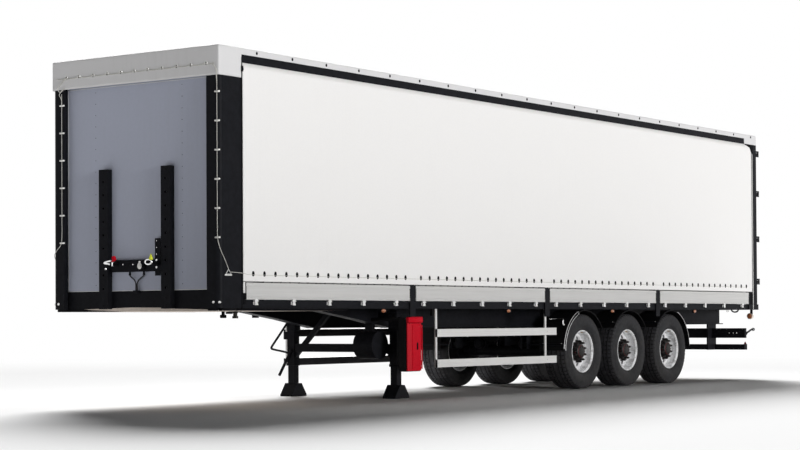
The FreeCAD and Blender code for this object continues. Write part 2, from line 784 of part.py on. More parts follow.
def fixed_hinge(name, sign, middle):
    """A leaf on the rail with two knuckles and the pin."""
    half = "hinge_width / 2"
    inner = "hinge_width * 3 / 14 + 1"
    leaf = box(name + "_leaf", (f"{middle} - {half}", f"{middle} + {half}"),
               mirrored_span(sign, "rail_face", "rail_face + hinge_leaf"),
               ("hinge_z - 42", "hinge_z + 6"))
    pin = cylinder(name + "_pin", "hinge_pin_radius", "x",
                   (f"{middle} - {half}", f"{middle} + {half}"), y=signed(sign, "hinge_y"),
                   z="hinge_z")
    pieces = [leaf, pin]
    for end, low, high in (("rear", f"-({half})", f"-({inner})"), ("front", inner, half)):
        span = (f"{middle} + {low}", f"{middle} + {high}")
        pieces.append(cylinder(f"{name}_{end}_knuckle", "hinge_knuckle_radius", "x", span,
                               y=signed(sign, "hinge_y"), z="hinge_z"))
        pieces.append(box(f"{name}_{end}_arm", span, mirrored_span(sign, "rail_face", "hinge_y"),
                          ("hinge_z - 7", "hinge_z + 6")))
    return fuse(name, pieces)


# ---------------------------------------------------------------- rear end

DOOR_HINGE_HEIGHTS = ("1590", "2290", "3040", "3700")
KEEPER_HEIGHTS = ("1300", "1950", "2600", "3250", "3700")
# distances of a door's two lock bars from the trailer's middle
LOCK_BAR_PLACES = ("260", "820")


def rear_frame():
    """Two posts, header and sill, with the fixed halves of the door hinges."""
    pieces = []
    deep = ("frame_rear", "frame_front")
    for side, sign in SIDES:
        pieces.append(box("rear_post_" + side, deep, mirrored_span(sign, "rear_post_inner", "side_face"),
                          ("rail_bottom", "roof_rail_top")))
        for index, height in enumerate(DOOR_HINGE_HEIGHTS):
            hinge = f"door_seat_{side}_{index + 1}"
            reach = "door_leaf_height / 2 + 2"
            spans = {"lower": (f"{height} - {reach} - door_seat_height", f"{height} - ({reach})"),
                     "upper": (f"{height} + {reach}", f"{height} + {reach} + door_seat_height")}
            for end, span in spans.items():
                pieces.append(cylinder(f"{hinge}_{end}_knuckle", "door_knuckle_radius", "z", span,
                                       x="door_axis_x", y=signed(sign, "door_axis_y")))
                pieces.append(box(f"{hinge}_{end}_arm", ("door_axis_x", "frame_rear"),
                                  mirrored_span(sign, "door_axis_y - 6", "side_face"), span))
            pieces.append(cylinder(hinge + "_pin", "door_pin_radius", "z",
                                   (spans["lower"][0], spans["upper"][1]), x="door_axis_x",
                                   y=signed(sign, "door_axis_y")))
        pieces.append(box("rear_foot_" + side, ("frame_front", behind(f"{bay_edge(4)} - stanchion_half")),
                          mirrored_span(sign, "rail_face", "side_face - 2"),
                          ("rail_bottom", "curtain_bottom - board_lap")))
    pieces.append(box("rear_header", deep, ("-rear_post_inner", "rear_post_inner"),
                      ("roof_rail_bottom", "roof_rail_top")))
    pieces.append(box("rear_sill", ("rear_face", "frame_front"), ("-side_face", "side_face"),
                      ("rail_bottom", "floor_height")))
    node("rear_frame", fuse("rear_frame", pieces))


def rear_doors():
    """Two leaves on outer hinges, each with two lock bars and their handles."""
    for side, sign in SIDES:
        name = "rear_door_" + side
        pieces = [box(name + "_panel", ("rear_face", "rear_face + door_thickness"),
                      mirrored_span(sign, "door_gap / 2", "door_edge"), ("door_bottom", "door_top"))]
        for bar, across in enumerate(LOCK_BAR_PLACES):
            pieces += lock_bar(f"{name}_bar_{bar + 1}", sign, across)
        for index, height in enumerate(DOOR_HINGE_HEIGHTS):
            pieces.append(door_hinge(f"{name}_hinge_{index + 1}", sign, height))
        node(name, fuse(name, pieces))


def lock_bar(name, sign, across):
    """An upright bar in its keepers, with a handle towards the door's edge."""
    bar_x = "rear_face - lock_bar_radius - lock_bar_gap"
    back = "rear_face - 2 * lock_bar_radius - lock_bar_gap - 4"
    pieces = [cylinder(name, "lock_bar_radius", "z", ("door_bottom + 10", "door_top - 10"),
                       x=bar_x, y=signed(sign, across)),
              box(name + "_handle", (back, "rear_face - lock_bar_radius"),
                  mirrored_span(sign, across, f"{across} + lock_handle_length"),
                  ("lock_handle_bottom", "lock_handle_bottom + lock_handle_height"))]
    half = "keeper_size / 2"
    for keeper, height in enumerate(KEEPER_HEIGHTS):
        pieces.append(box(f"{name}_keeper_{keeper + 1}", (back, "rear_face"),
                          mirrored_span(sign, f"{across} - {half}", f"{across} + {half}"),
                          (f"{height} - {half}", f"{height} + {half}")))
    return pieces


def door_hinge(name, sign, height):
    """A strap on the door with an arm out to its bored knuckle."""
    span = (f"{height} - door_leaf_height / 2", f"{height} + door_leaf_height / 2")
    strap = box(name + "_strap", ("rear_face - 6", "rear_face"),
                mirrored_span(sign, "door_edge - door_strap_length", "door_edge"), span)
    arm = box(name + "_arm", ("door_axis_x", "rear_face"),
              mirrored_span(sign, "door_edge - 12", "door_edge + 8"), span)
    knuckle = cylinder(name + "_knuckle", "door_knuckle_radius", "z", span,
                       x="door_axis_x", y=signed(sign, "door_axis_y"))
    bore = cylinder(name + "_bore", "door_pin_radius + spindle_clearance", "z", span,
                    x="door_axis_x", y=signed(sign, "door_axis_y"))
    return cut(name, fuse(name + "_whole", [strap, arm, knuckle]), [bore])


def bumper():
    """The lamp beam, the bar under it and the brackets that hang both from the beams."""
    half = "lamp_beam_width / 2"
    pieces = [box("lamp_beam", ("lamp_beam_rear", "lamp_beam_rear + lamp_beam_thickness"),
                  (f"-{half}", half), ("lamp_beam_bottom", "lamp_beam_bottom + lamp_beam_height")),
              box("underrun_bar", ("beam_rear + 95", "beam_rear + 95 + underrun_thickness"),
                  ("-underrun_width / 2", "underrun_width / 2"),
                  ("underrun_top - underrun_height", "underrun_top"))]
    half = "underrun_bracket / 2"
    for side, sign in SIDES:
        pieces.append(box("underrun_bracket_" + side, ("beam_rear + 145", "beam_rear + 445"),
                          mirrored_span(sign, f"beam_y - {half}", f"beam_y + {half}"),
                          ("underrun_top - underrun_height", "tail_bottom")))
    node("rear_underrun", fuse("rear_underrun", pieces))


# ---------------------------------------------------------------- running gear

def axles():
    """A tube with a drum and a spindle at each end."""
    pieces = []
    for index in range(3):
        name = f"axle_{index + 1}"
        middle = f"axle_x - {index} * axle_spacing"
        tube = "wheel_y - drum_gap"
        spindle = "wheel_y + spindle_reach"
        parts = [cylinder(name + "_tube", "axle_tube_radius", "y", (f"-({tube})", tube),
                          x=middle, z="wheel_z"),
                 cylinder(name + "_spindle", "hub_bore_radius - spindle_clearance", "y",
                          (f"-({spindle})", spindle), x=middle, z="wheel_z")]
        for side, sign in SIDES:
            parts.append(cylinder(f"{name}_drum_{side}", "drum_radius", "y",
                                  mirrored_span(sign, f"{tube} - drum_length", tube),
                                  x=middle, z="wheel_z"))
        pieces.append(fuse(name, parts))
    node("axle_beams", group("axle_beams", pieces))


def suspension():
    """Trailing arms over the axles, between hanger plates, under air springs."""
    hangers = []
    arms = []
    springs = []
    half = "arm_width / 2"
    arm_top = "arm_bottom + arm_height"
    for index in range(3):
        middle = f"axle_x - {index} * axle_spacing"
        for side, sign in SIDES:
            tag = f"{side}_{index + 1}"
            across = signed(sign, "beam_y")
            arms.append(box("arm_" + tag, (f"{middle} - arm_rear", f"{middle} + arm_front"),
                            (f"{across} - {half}", f"{across} + {half}"), ("arm_bottom", arm_top)))
            for edge, low, high in (("inner", f"-({half} + hanger_wall)", f"-{half}"),
                                    ("outer", half, f"{half} + hanger_wall")):
                hangers.append(box(f"hanger_{tag}_{edge}",
                                   (f"{middle} + hanger_setback",
                                    f"{middle} + hanger_setback + hanger_length"),
                                   (f"{across} + {low}", f"{across} + {high}"),
                                   (f"arm_bottom - {half} + 10", "beam_bottom")))
            springs.append(cylinder("air_spring_" + tag, "air_spring_radius", "z",
                                    (arm_top, "beam_bottom"),
                                    x=f"{middle} - air_spring_setback", y=across))
    node("suspension_hangers", group("suspension_hangers", hangers))
    node("trailing_arms", group("trailing_arms", arms))
    node("air_springs", group("air_springs", springs))


def wheel_sections():
    """Half sections of a rim with its hub and of a tyre, as (along the axle, radius)."""
    half = "rim_width / 2"
    rim = [(f"-{half}", "rim_radius"), (f"-{half} + 12", "rim_radius"),
           (f"-{half} + 20", "rim_seat_radius"), (f"{half} - 20", "rim_seat_radius"),
           (f"{half} - 12", "rim_radius"), (half, "rim_radius"), (half, "rim_radius - 10"),
           (f"{half} - 20", "rim_seat_radius - 10"), ("20", "rim_seat_radius - 10"),
           ("20", "rim_seat_radius - 36"), ("50", "140"), ("50", "100"), ("110", "95"),
           ("120", "70"), ("120", "0"), ("101", "0"), ("101", "hub_bore_radius"),
           ("-80", "hub_bore_radius"), ("-80", "90"), ("36", "100"), ("36", "135"),
           ("6", "rim_seat_radius - 41"), ("6", "rim_seat_radius - 10"),
           (f"-{half} + 20", "rim_seat_radius - 10"), (f"-{half}", "rim_radius - 10")]
    wide = "tyre_width / 2"
    bead = f"{half} - 13"
    seat = ("rim_seat_radius + tyre_seat_gap",)
    lower_half = [(f"-({bead} - 8)",) + seat,
                  (f"-({bead})", "rim_radius + 3", "sidewall_radius"),
                  (f"-({wide} - 17.5)", "tyre_radius - 25", "shoulder_radius"),
                  (f"-({wide} - 34)", "tyre_radius - 6", "crown_radius")]
    upper_half = [(f"{wide} - 34", "tyre_radius - 6", "shoulder_radius"),
                  (f"{wide} - 17.5", "tyre_radius - 25", "sidewall_radius"),
                  (bead, "rim_radius + 3"), (f"{bead} - 8",) + seat]
    return rim, lower_half + upper_half


def wheels():
    """Single wide wheels: the rim with its hub turns on the spindle and carries the tyre."""
    rim_section, tyre_section = wheel_sections()
    for side, sign in SIDES:
        for index in range(3):
            tag = f"{side}_{index + 1}"
            middle = f"axle_x - {index} * axle_spacing"
            across = signed(sign, "wheel_y")
            rim = turned("rim_" + tag + "_disc", rim_section)
            if sign < 0:
                turn = FreeCAD.Rotation(FreeCAD.Vector(0, 0, 1), 180)
                rim.Placement = FreeCAD.Placement(FreeCAD.Vector(), turn)
            place_at(rim, middle, across, "wheel_z")
            holes = []
            for hole in range(10):
                angle = 36 * hole
                holes.append(cylinder(f"rim_{tag}_hand_hole_{hole + 1}", "hand_hole_radius", "y",
                                      (f"{across} - 90", f"{across} + 90"),
                                      x=f"{middle} + hand_hole_circle * cos({angle} deg)",
                                      z=f"wheel_z + hand_hole_circle * sin({angle} deg)"))
            node("rim_" + tag, cut("rim_" + tag, rim, holes))
            tyre = turned("tyre_" + tag, tyre_section, middle, across, "wheel_z")
            node("tyre_" + tag, tyre)


# heights of each arch's front and rear end over the axle, from the first axle to the last
MUDGUARD_ENDS = (("20", "330"), ("330", "330"), ("330", "20"))


def mudguards():
    """An arch over each wheel, hung from the side rail by a block."""
    outer = "(tyre_radius + mudguard_gap + mudguard_thickness)"
    inner = "(tyre_radius + mudguard_gap)"
    pieces = []
    for side, sign in SIDES:
        for index, (front, rear) in enumerate(MUDGUARD_ENDS):
            name = f"mudguard_{side}_{index + 1}"
            middle = f"axle_x - {index} * axle_spacing"
            section = [(f"sqrt({outer} ^ 2 - {front} ^ 2)", front, outer),
                       (f"-sqrt({outer} ^ 2 - {rear} ^ 2)", rear),
                       (f"-sqrt({inner} ^ 2 - {rear} ^ 2)", rear, f"-{inner}"),
                       (f"sqrt({inner} ^ 2 - {front} ^ 2)", front)]
            arch = padded(name + "_arch", "XZ_Plane", section, "mudguard_width", middle,
                          signed(sign, "wheel_y"), "wheel_z")
            block = box(name + "_block",
                        (f"{middle} - mudguard_block_half", f"{middle} + mudguard_block_half"),
                        mirrored_span(sign, "rail_face - 45", "rail_face - 10"),
                        (f"wheel_z + {outer} - 6", "rail_bottom"))
            pieces.append(fuse(name, [arch, block]))
    node("mudguards", group("mudguards", pieces))


# ---------------------------------------------------------------- landing gear

def landing_legs():
    """Outer and inner square tubes, a foot, a bracket to the beam and the right leg's gearbox."""
    for side, sign in SIDES:
        name = "landing_leg_" + side
        across = signed(sign, "leg_y")
        pieces = []
        for part, width, low, high in (
                ("outer", "leg_outer", "leg_outer_foot", "rail_bottom - leg_top_gap"),
                ("inner", "leg_inner", "foot_height", "leg_outer_foot")):
            half = f"{width} / 2"
            pieces.append(box(f"{name}_{part}", (f"leg_x - {half}", f"leg_x + {half}"),
                              (f"{across} - {half}", f"{across} + {half}"), (low, high)))
        foot = [("-foot_length / 2", "0"), ("foot_length / 2", "0"), ("foot_length / 2", "foot_sole"),
                ("leg_inner / 2", "foot_height"), ("-leg_inner / 2", "foot_height"),
                ("-foot_length / 2", "foot_sole")]
        pieces.append(padded(name + "_foot", "XZ_Plane", foot, "foot_width", "leg_x", across))
        pieces.append(box(name + "_bracket",
                          ("leg_x - leg_bracket_half", "leg_x + leg_bracket_half"),
                          mirrored_span(sign, "beam_y + beam_web / 2", "leg_inner_face"),
                          ("beam_bottom + 120", "deck_bottom - beam_flange - 70")))
        if side == "right":
            pieces.append(box(name + "_gearbox", ("leg_x - gearbox_half", "leg_x + gearbox_half"),
                              mirrored_span(sign, "leg_outer_face", "leg_outer_face + gearbox_depth"),
                              ("gearbox_bottom", "gearbox_top")))
        node(name, fuse(name, pieces))


def landing_gear_brace():
    """The cross beam between the legs and two struts up to the cross member over them."""
    inner = "leg_inner_face"
    half = "gear_beam_half"
    pieces = [box("gear_beam", (f"leg_x - {half}", f"leg_x + {half}"), (f"-{inner}", inner),
                  ("gear_beam_bottom", "gear_beam_top"))]
    for side, sign in SIDES:
        strut = [(inner, "gear_beam_bottom - strut_drop"), (inner, "gear_beam_bottom"),
                 ("strut_head + strut_head_width", "member_bottom"), ("strut_head", "member_bottom")]
        if sign < 0:
            strut = [(f"-({across})", up) for across, up in reversed(strut)]
        pieces.append(padded("gear_strut_" + side, "YZ_Plane", strut, "strut_thickness",
                             x="leg_x + 5"))
    node("landing_gear_brace", fuse("landing_gear_brace", pieces))


# places of the stowed crank's corners, as (across, up)
CRANK_HEAD = ("-(leg_y + 20)", "985")
CRANK_ELBOW = ("-(leg_y + 235)", "605")
CRANK_REST = ("-(leg_y + 10)", "530")
GRIP_TOP = ("-(leg_y - 25)", "585")
GRIP_END = ("-(leg_y + 160)", "285")


def landing_crank():
    """The folded crank: two straights of rod and a grip across the end, held by two clips."""
    pieces = [rod_between("crank_upper", "crank_radius", CRANK_HEAD, CRANK_ELBOW),
              rod_between("crank_lower", "crank_radius", CRANK_ELBOW, CRANK_REST),
              rod_between("crank_grip", "crank_grip_radius", GRIP_TOP, GRIP_END)]
    for index, (across, up) in enumerate((CRANK_HEAD, CRANK_ELBOW, CRANK_REST)):
        knee = doc.addObject("Part::Sphere", f"crank_knee_{index + 1}")
        knee.setExpression("Radius", bound("crank_radius"))
        pieces.append(place_at(knee, "crank_x", across, up))
    for index, (across, up) in enumerate((CRANK_HEAD, CRANK_REST)):
        pieces.append(box(f"crank_clip_{index + 1}", ("leg_x + leg_outer / 2", "crank_x + 6"),
                          (f"{across} - 14", f"{across} + 14"), (f"{up} - 14", f"{up} + 14")))
    node("landing_crank", fuse("landing_crank", pieces))


def rod_between(name, radius, start, end):
    """A round rod in the crank's plane, from start to end as (across, up)."""
    across = f"({end[0]}) - ({start[0]})"
    up = f"({end[1]}) - ({start[1]})"
    rod = doc.addObject("Part::Cylinder", name)
    along = FreeCAD.Vector(0, number(across), number(up))
    rod.Placement = FreeCAD.Placement(FreeCAD.Vector(),
                                      FreeCAD.Rotation(FreeCAD.Vector(0, 0, 1), along))
    rod.setExpression("Radius", bound(radius))
    rod.setExpression("Height", bound(f"sqrt(({across}) ^ 2 + ({up}) ^ 2)"))
    return place_at(rod, "crank_x", start[0], start[1])


# ---------------------------------------------------------------- fittings under the body

def side_guards():
    """Two rails a side on two posts that hang from the side rail."""
    pieces = []
    outer = "rail_face - guard_inset"
    for side, sign in SIDES:
        name = "side_guard_" + side
        parts = []
        for level in ("guard_lower", "guard_upper"):
            parts.append(box(f"{name}_{level}", (behind("guard_end"), behind("guard_start")),
                             mirrored_span(sign, outer, f"{outer} + guard_rail_thickness"),
                             (level, f"{level} + guard_rail_height")))
        for end, setback in (("front", "guard_start + guard_front_post"),
                             ("rear", "guard_end - guard_rear_post")):
            parts.append(box(f"{name}_post_{end}",
                             (behind(f"{setback} + guard_post_width"), behind(setback)),
                             mirrored_span(sign, f"{outer} - guard_post_depth", outer),
                             ("guard_lower", "rail_bottom")))
        pieces.append(fuse(name, parts))
    node("side_guards", group("side_guards", pieces))


FIRE_BOX_HINGE_HEIGHTS = ("450", "820")


def fire_box():
    """A hollow box on a back frame, with a front door hung on its rear edge."""
    deep = ("fire_box_rear", "fire_box_front")
    wall = "fire_box_wall"
    roof = "fire_box_top - fire_box_cap"
    shell = box("fire_box_shell", deep, ("fire_box_inner", "fire_box_face"),
                ("fire_box_bottom", "fire_box_top"))
    inside = box("fire_box_inside", (f"fire_box_rear + {wall}", f"fire_box_front - {wall}"),
                 (f"fire_box_inner + {wall}", "fire_box_face"),
                 (f"fire_box_bottom + {wall}", roof))
    cap = facetted_front("fire_box_cap_front", "fire_box_face", roof, "fire_box_top")
    frame = box("fire_box_frame", ("fire_box_rear + 40", "fire_box_front - 20"),
                ("fire_box_inner - fire_box_frame_depth", "fire_box_inner"),
                ("fire_box_bottom + 60", "fire_box_top + 20"))
    arm = box("fire_box_arm", ("fire_box_front - 80", "fire_box_front - 30"),
              ("beam_y + beam_web / 2", "fire_box_inner - fire_box_frame_depth"),
              ("fire_box_arm_bottom", "fire_box_arm_bottom + fire_box_arm_height"))
    parts = [cut("fire_box_hollow", shell, [inside]), cap, frame, arm]
    leaf = facetted_front("fire_box_door_panel", "fire_box_face + fire_box_door_gap",
                          "fire_box_bottom + 10", f"{roof} - 10")
    door_parts = [leaf]
    for index, height in enumerate(FIRE_BOX_HINGE_HEIGHTS):
        parts += fire_box_ear(f"fire_box_ear_{index + 1}", height)
        door_parts.append(fire_box_eye(f"fire_box_eye_{index + 1}", height))
    node("fire_box", fuse("fire_box", parts))
    node("fire_box_door", fuse("fire_box_door", door_parts))


def facetted_front(name, back, low, high):
    """A slab whose front has a flat middle and two slanting facets."""
    edge = f"{back} + fire_box_door_edge"
    face = f"{back} + fire_box_door_depth"
    outline = [("fire_box_rear", back), ("fire_box_front", back), ("fire_box_front", edge),
               ("fire_box_front - fire_box_chamfer", face), ("fire_box_rear + fire_box_chamfer", face),
               ("fire_box_rear", edge)]
    return padded(name, "XY_Plane", outline, f"{high} - ({low})", z=low, midplane=False)


def fire_box_ear(name, height):
    """The fixed half of a hinge: an ear behind the box that holds the pin."""
    low = f"{height} - fire_box_leaf"
    edge = "fire_box_hinge_x - fire_box_hinge_gap"
    return [box(name, (edge, "fire_box_hinge_x"), ("fire_box_face - 30", "fire_box_hinge_y"),
                (low, height)),
            box(name + "_foot", (edge, "fire_box_rear"), ("fire_box_face - 30", "fire_box_face"),
                (low, height)),
            cylinder(name + "_pin", "fire_box_pin_radius", "z", (low, f"{height} + fire_box_leaf"),
                     x="fire_box_hinge_x", y="fire_box_hinge_y")]


def fire_box_eye(name, height):
    """The moving half: a bored knuckle on an arm from the door, just over the ear."""
    span = (f"{height} + 1", f"{height} + fire_box_leaf")
    at_pin = {"x": "fire_box_hinge_x", "y": "fire_box_hinge_y"}
    back = "fire_box_face + fire_box_door_gap"
    eye = cylinder(name + "_knuckle", "fire_box_knuckle_radius", "z", span, **at_pin)
    arm = box(name + "_arm", ("fire_box_hinge_x", "fire_box_rear"),
              (f"{back} + fire_box_door_edge - 3", "fire_box_hinge_y"), span)
    tab = box(name + "_tab", ("fire_box_rear", "fire_box_rear + 20"),
              (f"{back} + fire_box_door_edge - 3", "fire_box_hinge_y"), span)
    bore = cylinder(name + "_bore", "fire_box_pin_radius + spindle_clearance", "z", span, **at_pin)
    return cut(name, fuse(name + "_whole", [eye, arm, tab]), [bore])


def air_tank():
    """A tank across the trailer beside the left leg, on a strap that ends on the beam's flange."""
    outer = "leg_inner_face - tank_gap"
    half = "tank_strap_width / 2"
    tank = cylinder("tank_shell", "tank_radius", "y", (f"{outer} - tank_length", outer),
                    x="tank_x", z="tank_z")
    slope = "(coupling_height - neck_drop - beam_bottom) / (neck_foot_x - beam_foot_x)"
    across = ("beam_y - tank_strap_depth / 2", "beam_y + tank_strap_depth / 2")
    ends = [(f"tank_x + {sign}({half})", f"beam_bottom + (tank_x + {sign}({half}) - beam_foot_x) * {slope}")
            for sign in ("", "-")]
    outline = [(ends[1][0], "tank_z + tank_radius - 12"), (ends[0][0], "tank_z + tank_radius - 12"),
               ends[0], ends[1]]
    strap = padded("tank_strap", "XZ_Plane", outline, "tank_strap_depth", y="beam_y")
    node("air_tank", fuse("air_tank", [tank, strap]))


# distances of the side lamps behind the front face: in the first bay, then round the axles
SIDE_LAMP_SETBACKS = (
    "first_post_setback + 2650",
    "front_face - axle_x - 2000",
    "front_face - axle_x + axle_spacing / 2 + 165",
    "front_face - axle_x + 2 * axle_spacing + 820",
)


def side_lamps():
    """Amber lamps under the side rails and at the rear corners."""
    half = "side_lamp_length / 2"
    amber = []
    for side, sign in SIDES:
        for index, setback in enumerate(SIDE_LAMP_SETBACKS):
            amber.append(box(f"side_lamp_{side}_{index + 1}",
                             (behind(f"{setback} + {half}"), behind(f"{setback} - {half}")),
                             mirrored_span(sign, "rail_face - 5 - side_lamp_depth", "rail_face - 5"),
                             ("rail_bottom - side_lamp_height", "rail_bottom")))
        amber.append(box("corner_lamp_" + side, ("rear_face + 160", "rear_face + 205"),
                         mirrored_span(sign, "side_face - 60", "side_face - 25"),
                         ("rail_bottom - corner_lamp_height", "rail_bottom")))
    node("side_marker_lamps", group("side_marker_lamps", amber))


def tail_lamps():
    """A lamp cluster on each half of the lamp beam and a marker on an arm at each end."""
    red = []
    border = "tail_lamp_border"
    for side, sign in SIDES:
        red.append(box("tail_lamp_" + side, ("lamp_beam_rear - tail_lamp_depth", "lamp_beam_rear"),
                       mirrored_span(sign, "tail_lamp_inner", "tail_lamp_outer"),
                       (f"lamp_beam_bottom + {border}",
                        f"lamp_beam_bottom + lamp_beam_height - {border}")))
        across = signed(sign, "lamp_beam_width / 2 - 15")
        level = "lamp_beam_bottom + lamp_beam_height / 2 + 15"
        head = ("lamp_beam_rear - 290", "lamp_beam_rear - 250")
        red.append(fuse("arm_lamp_" + side, [
            cylinder(f"arm_lamp_{side}_rod", "arm_lamp_rod_radius", "x", (head[1], "lamp_beam_rear"),
                     y=across, z=level),
            cylinder(f"arm_lamp_{side}_head", "arm_lamp_radius", "x", head, y=across, z=level)]))
    node("tail_lamps", group("tail_lamps", red))


# ---------------------------------------------------------------- connections on the front wall

# colour, shell's place across and up, then the grip's span across
COUPLINGS = (
    ("red", "-300", "1645", ("-300", "-175")),
    ("yellow", "322", "1632", ("300", "392")),
)
SOCKET_PLACE = ("105", "1611")
# the supply cables' corners from gland to entry, as (across, up)
CABLES = (
    (("-102", "cable_start"), ("-102", "1500"), ("-10", "1440"), ("-10", "cable_entry_top")),
    (("112", "cable_start"), ("112", "1500"), ("10", "1440"), ("10", "cable_entry_top")),
)


def connections():
    """A plate between the channels with two air couplings, a socket and the cables' glands."""
    deep = ("connector_back", "connector_front")
    top = "connector_bottom + connector_height"
    parts = [box("connector_plate_sheet", deep, ("-channel_inner", "channel_inner"),
                 ("connector_bottom", top)),
             box("connector_strip", deep,
                 ("channel_inner - strip_inset - strip_width", "channel_inner - strip_inset"),
                 ("strip_bottom", "strip_bottom + strip_height")),
             cylinder("socket_shell", "socket_radius", "x",
                      ("connector_front", "connector_front + socket_length"),
                      y=SOCKET_PLACE[0], z=SOCKET_PLACE[1])]
    for index, corners in enumerate(CABLES):
        parts.append(cylinder(f"gland_{index + 1}", "gland_radius", "z",
                              ("cable_start", "connector_bottom"), x="cable_x", y=corners[0][0]))
    node("connector_plate", fuse("connector_plate", parts))
    reach = "front_face + front_reach"
    for colour, across, up, grip in COUPLINGS:
        name = "air_coupling_" + colour
        shell = cylinder(name + "_shell", "coupling_shell_radius", "x",
                         ("connector_front", reach), y=across, z=up)
        handle = box(name + "_grip", (f"{reach} - 55", f"{reach} - 15"), grip,
                     (f"{up} + 15", f"{up} + 60"))
        node(name, fuse(name, [shell, handle]))


def supply_cables():
    """Two cables from the plate's glands down to the entry on the sill."""
    cables = [cable(f"supply_cable_{index + 1}", corners) for index, corners in enumerate(CABLES)]
    node("supply_cables", group("supply_cables", cables))


def cable(name, corners):
    """A tube along straights joined by arcs, its radii set by the shorter straight."""
    points = [FreeCAD.Vector(number("cable_x"), number(across), number(up)) for across, up in corners]
    edges = []
    start = points[0]
    for before, corner, after in zip(points, points[1:], points[2:]):
        back, ahead = (before - corner), (after - corner)
        half_turn = (math.pi - back.getAngle(ahead)) / 2
        setback = 0.45 * min(back.Length, ahead.Length)
        print(name, "radius", round(setback / math.tan(half_turn), 1))
        back.normalize()
        ahead.normalize()
        bend = ((corner + back * setback), (corner + ahead * setback))
        radius = setback / math.tan(half_turn)
        towards = (back + ahead).normalize()
        middle = corner + towards * (radius / math.cos(half_turn) - radius)
        edges.append(Part.LineSegment(start, bend[0]).toShape())
        edges.append(Part.Arc(bend[0], middle, bend[1]).toShape())
        start = bend[1]
    edges.append(Part.LineSegment(start, points[-1]).toShape())
    ring = Part.Circle(points[0], points[1] - points[0], number("cable_radius")).toShape()
    tube = doc.addObject("Part::Feature", name)
    tube.Shape = Part.Wire(edges).makePipeShell([Part.Wire(ring)], True, False)
    return tube


# ---------------------------------------------------------------- build

main_beam_node = main_beams()
cross_members(main_beam_node)
side_rails()
floor_deck()
coupling()
front_frame()
front_channels()
connections()
supply_cables()
roof_frame()
roof_sheet()
side_curtains()
side_posts()
drop_boards()
rear_frame()
rear_doors()
bumper()
axles()
suspension()
wheels()
mudguards()
landing_legs()
landing_gear_brace()
landing_crank()
side_guards()
fire_box()
air_tank()
side_lamps()
tail_lamps()
doc.recompute()

failed = [item.Name for item in doc.Objects if {"Invalid", "Error"} & set(item.State)]
for item in nodes:
    if item.Shape.isNull() or not item.Shape.isValid():
        failed.append(item.Label)
if failed:
    raise RuntimeError("failed: " + ", ".join(failed))
os.makedirs("parts", exist_ok=True)
for item in nodes:
    item.Shape.exportStep(f"parts/{item.Label}.step")
    print(item.Label, len(item.Shape.Solids), round(item.Shape.Volume / 1e6, 3))
print(len(nodes), "nodes")
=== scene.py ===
import json
import math

import bmesh
import bpy
import numpy as np
from mathutils import Matrix, Vector


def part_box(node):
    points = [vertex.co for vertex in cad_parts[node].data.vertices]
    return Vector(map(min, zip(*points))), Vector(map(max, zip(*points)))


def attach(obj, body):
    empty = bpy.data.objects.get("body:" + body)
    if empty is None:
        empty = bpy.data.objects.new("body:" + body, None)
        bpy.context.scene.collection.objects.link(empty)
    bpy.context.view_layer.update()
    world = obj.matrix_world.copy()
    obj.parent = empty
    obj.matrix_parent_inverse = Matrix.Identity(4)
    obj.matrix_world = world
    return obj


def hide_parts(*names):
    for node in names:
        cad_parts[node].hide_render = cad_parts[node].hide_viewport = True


bl_info = {
    "name": "Curtain-side semi trailer",
    "version": (1, 0, 0),
    "blender": (4, 5, 0),
    "location": "3D View > Sidebar > Trailer",
    "description": "Finishes, cloth, tyres and trim for a three-axle curtain-side semi trailer",
    "category": "Object",
}

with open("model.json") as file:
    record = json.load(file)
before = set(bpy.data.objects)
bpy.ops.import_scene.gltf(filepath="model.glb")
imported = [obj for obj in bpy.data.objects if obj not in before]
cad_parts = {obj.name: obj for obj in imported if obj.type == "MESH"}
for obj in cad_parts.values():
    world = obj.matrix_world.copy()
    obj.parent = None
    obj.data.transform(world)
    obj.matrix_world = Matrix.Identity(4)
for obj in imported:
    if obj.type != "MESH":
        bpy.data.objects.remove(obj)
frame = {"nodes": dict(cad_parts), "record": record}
BOX = {name: [np.array(corner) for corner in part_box(name)] for name in frame["nodes"]}
SIDES = (("left", 1), ("right", -1))
WHEELS = [(side, sign, number) for side, sign in SIDES for number in (1, 2, 3)]
FULL_TURN = 2 * math.pi


def middle_of(node, axis):
    return float(BOX[node][0][axis] + BOX[node][1][axis]) / 2


FRONT = float(BOX["front_frame"][1][0])            # the corner posts' front
PANEL = float(BOX["front_wall"][1][0])             # the front wall's outer face
CHANNEL = float(BOX["front_channels"][1][0])       # the upright channels' front
PLATE = PANEL + 0.036                              # the connector plate's front
REAR = float(BOX["rear_door_left"][1][0]) - 0.040  # the rear doors' outer face
CURTAIN_END = float(BOX["side_curtain_left"][0][0])
AXLES = [middle_of(f"rim_left_{number}", 0) for number in (1, 2, 3)]
AXLE_HEIGHT = middle_of("rim_left_1", 2)
LEG = middle_of("landing_leg_left", 0)
PIN = FRONT - 1.760                                # the king pin's axis
WALL = 1.270                                       # the boards' and curtains' own plane
BAY = 3.215                                        # from one side post to the next


# ---------------------------------------------------------------- sizes and colours

def tint(name, description, *colour):
    return bpy.props.FloatVectorProperty(name=name, description=description, subtype="COLOR",
                                         size=3, min=0, max=1, default=colour)


def length(name, description, default, low, high):
    return bpy.props.FloatProperty(name=name, description=description, unit="LENGTH",
                                   default=default, min=low, max=high)


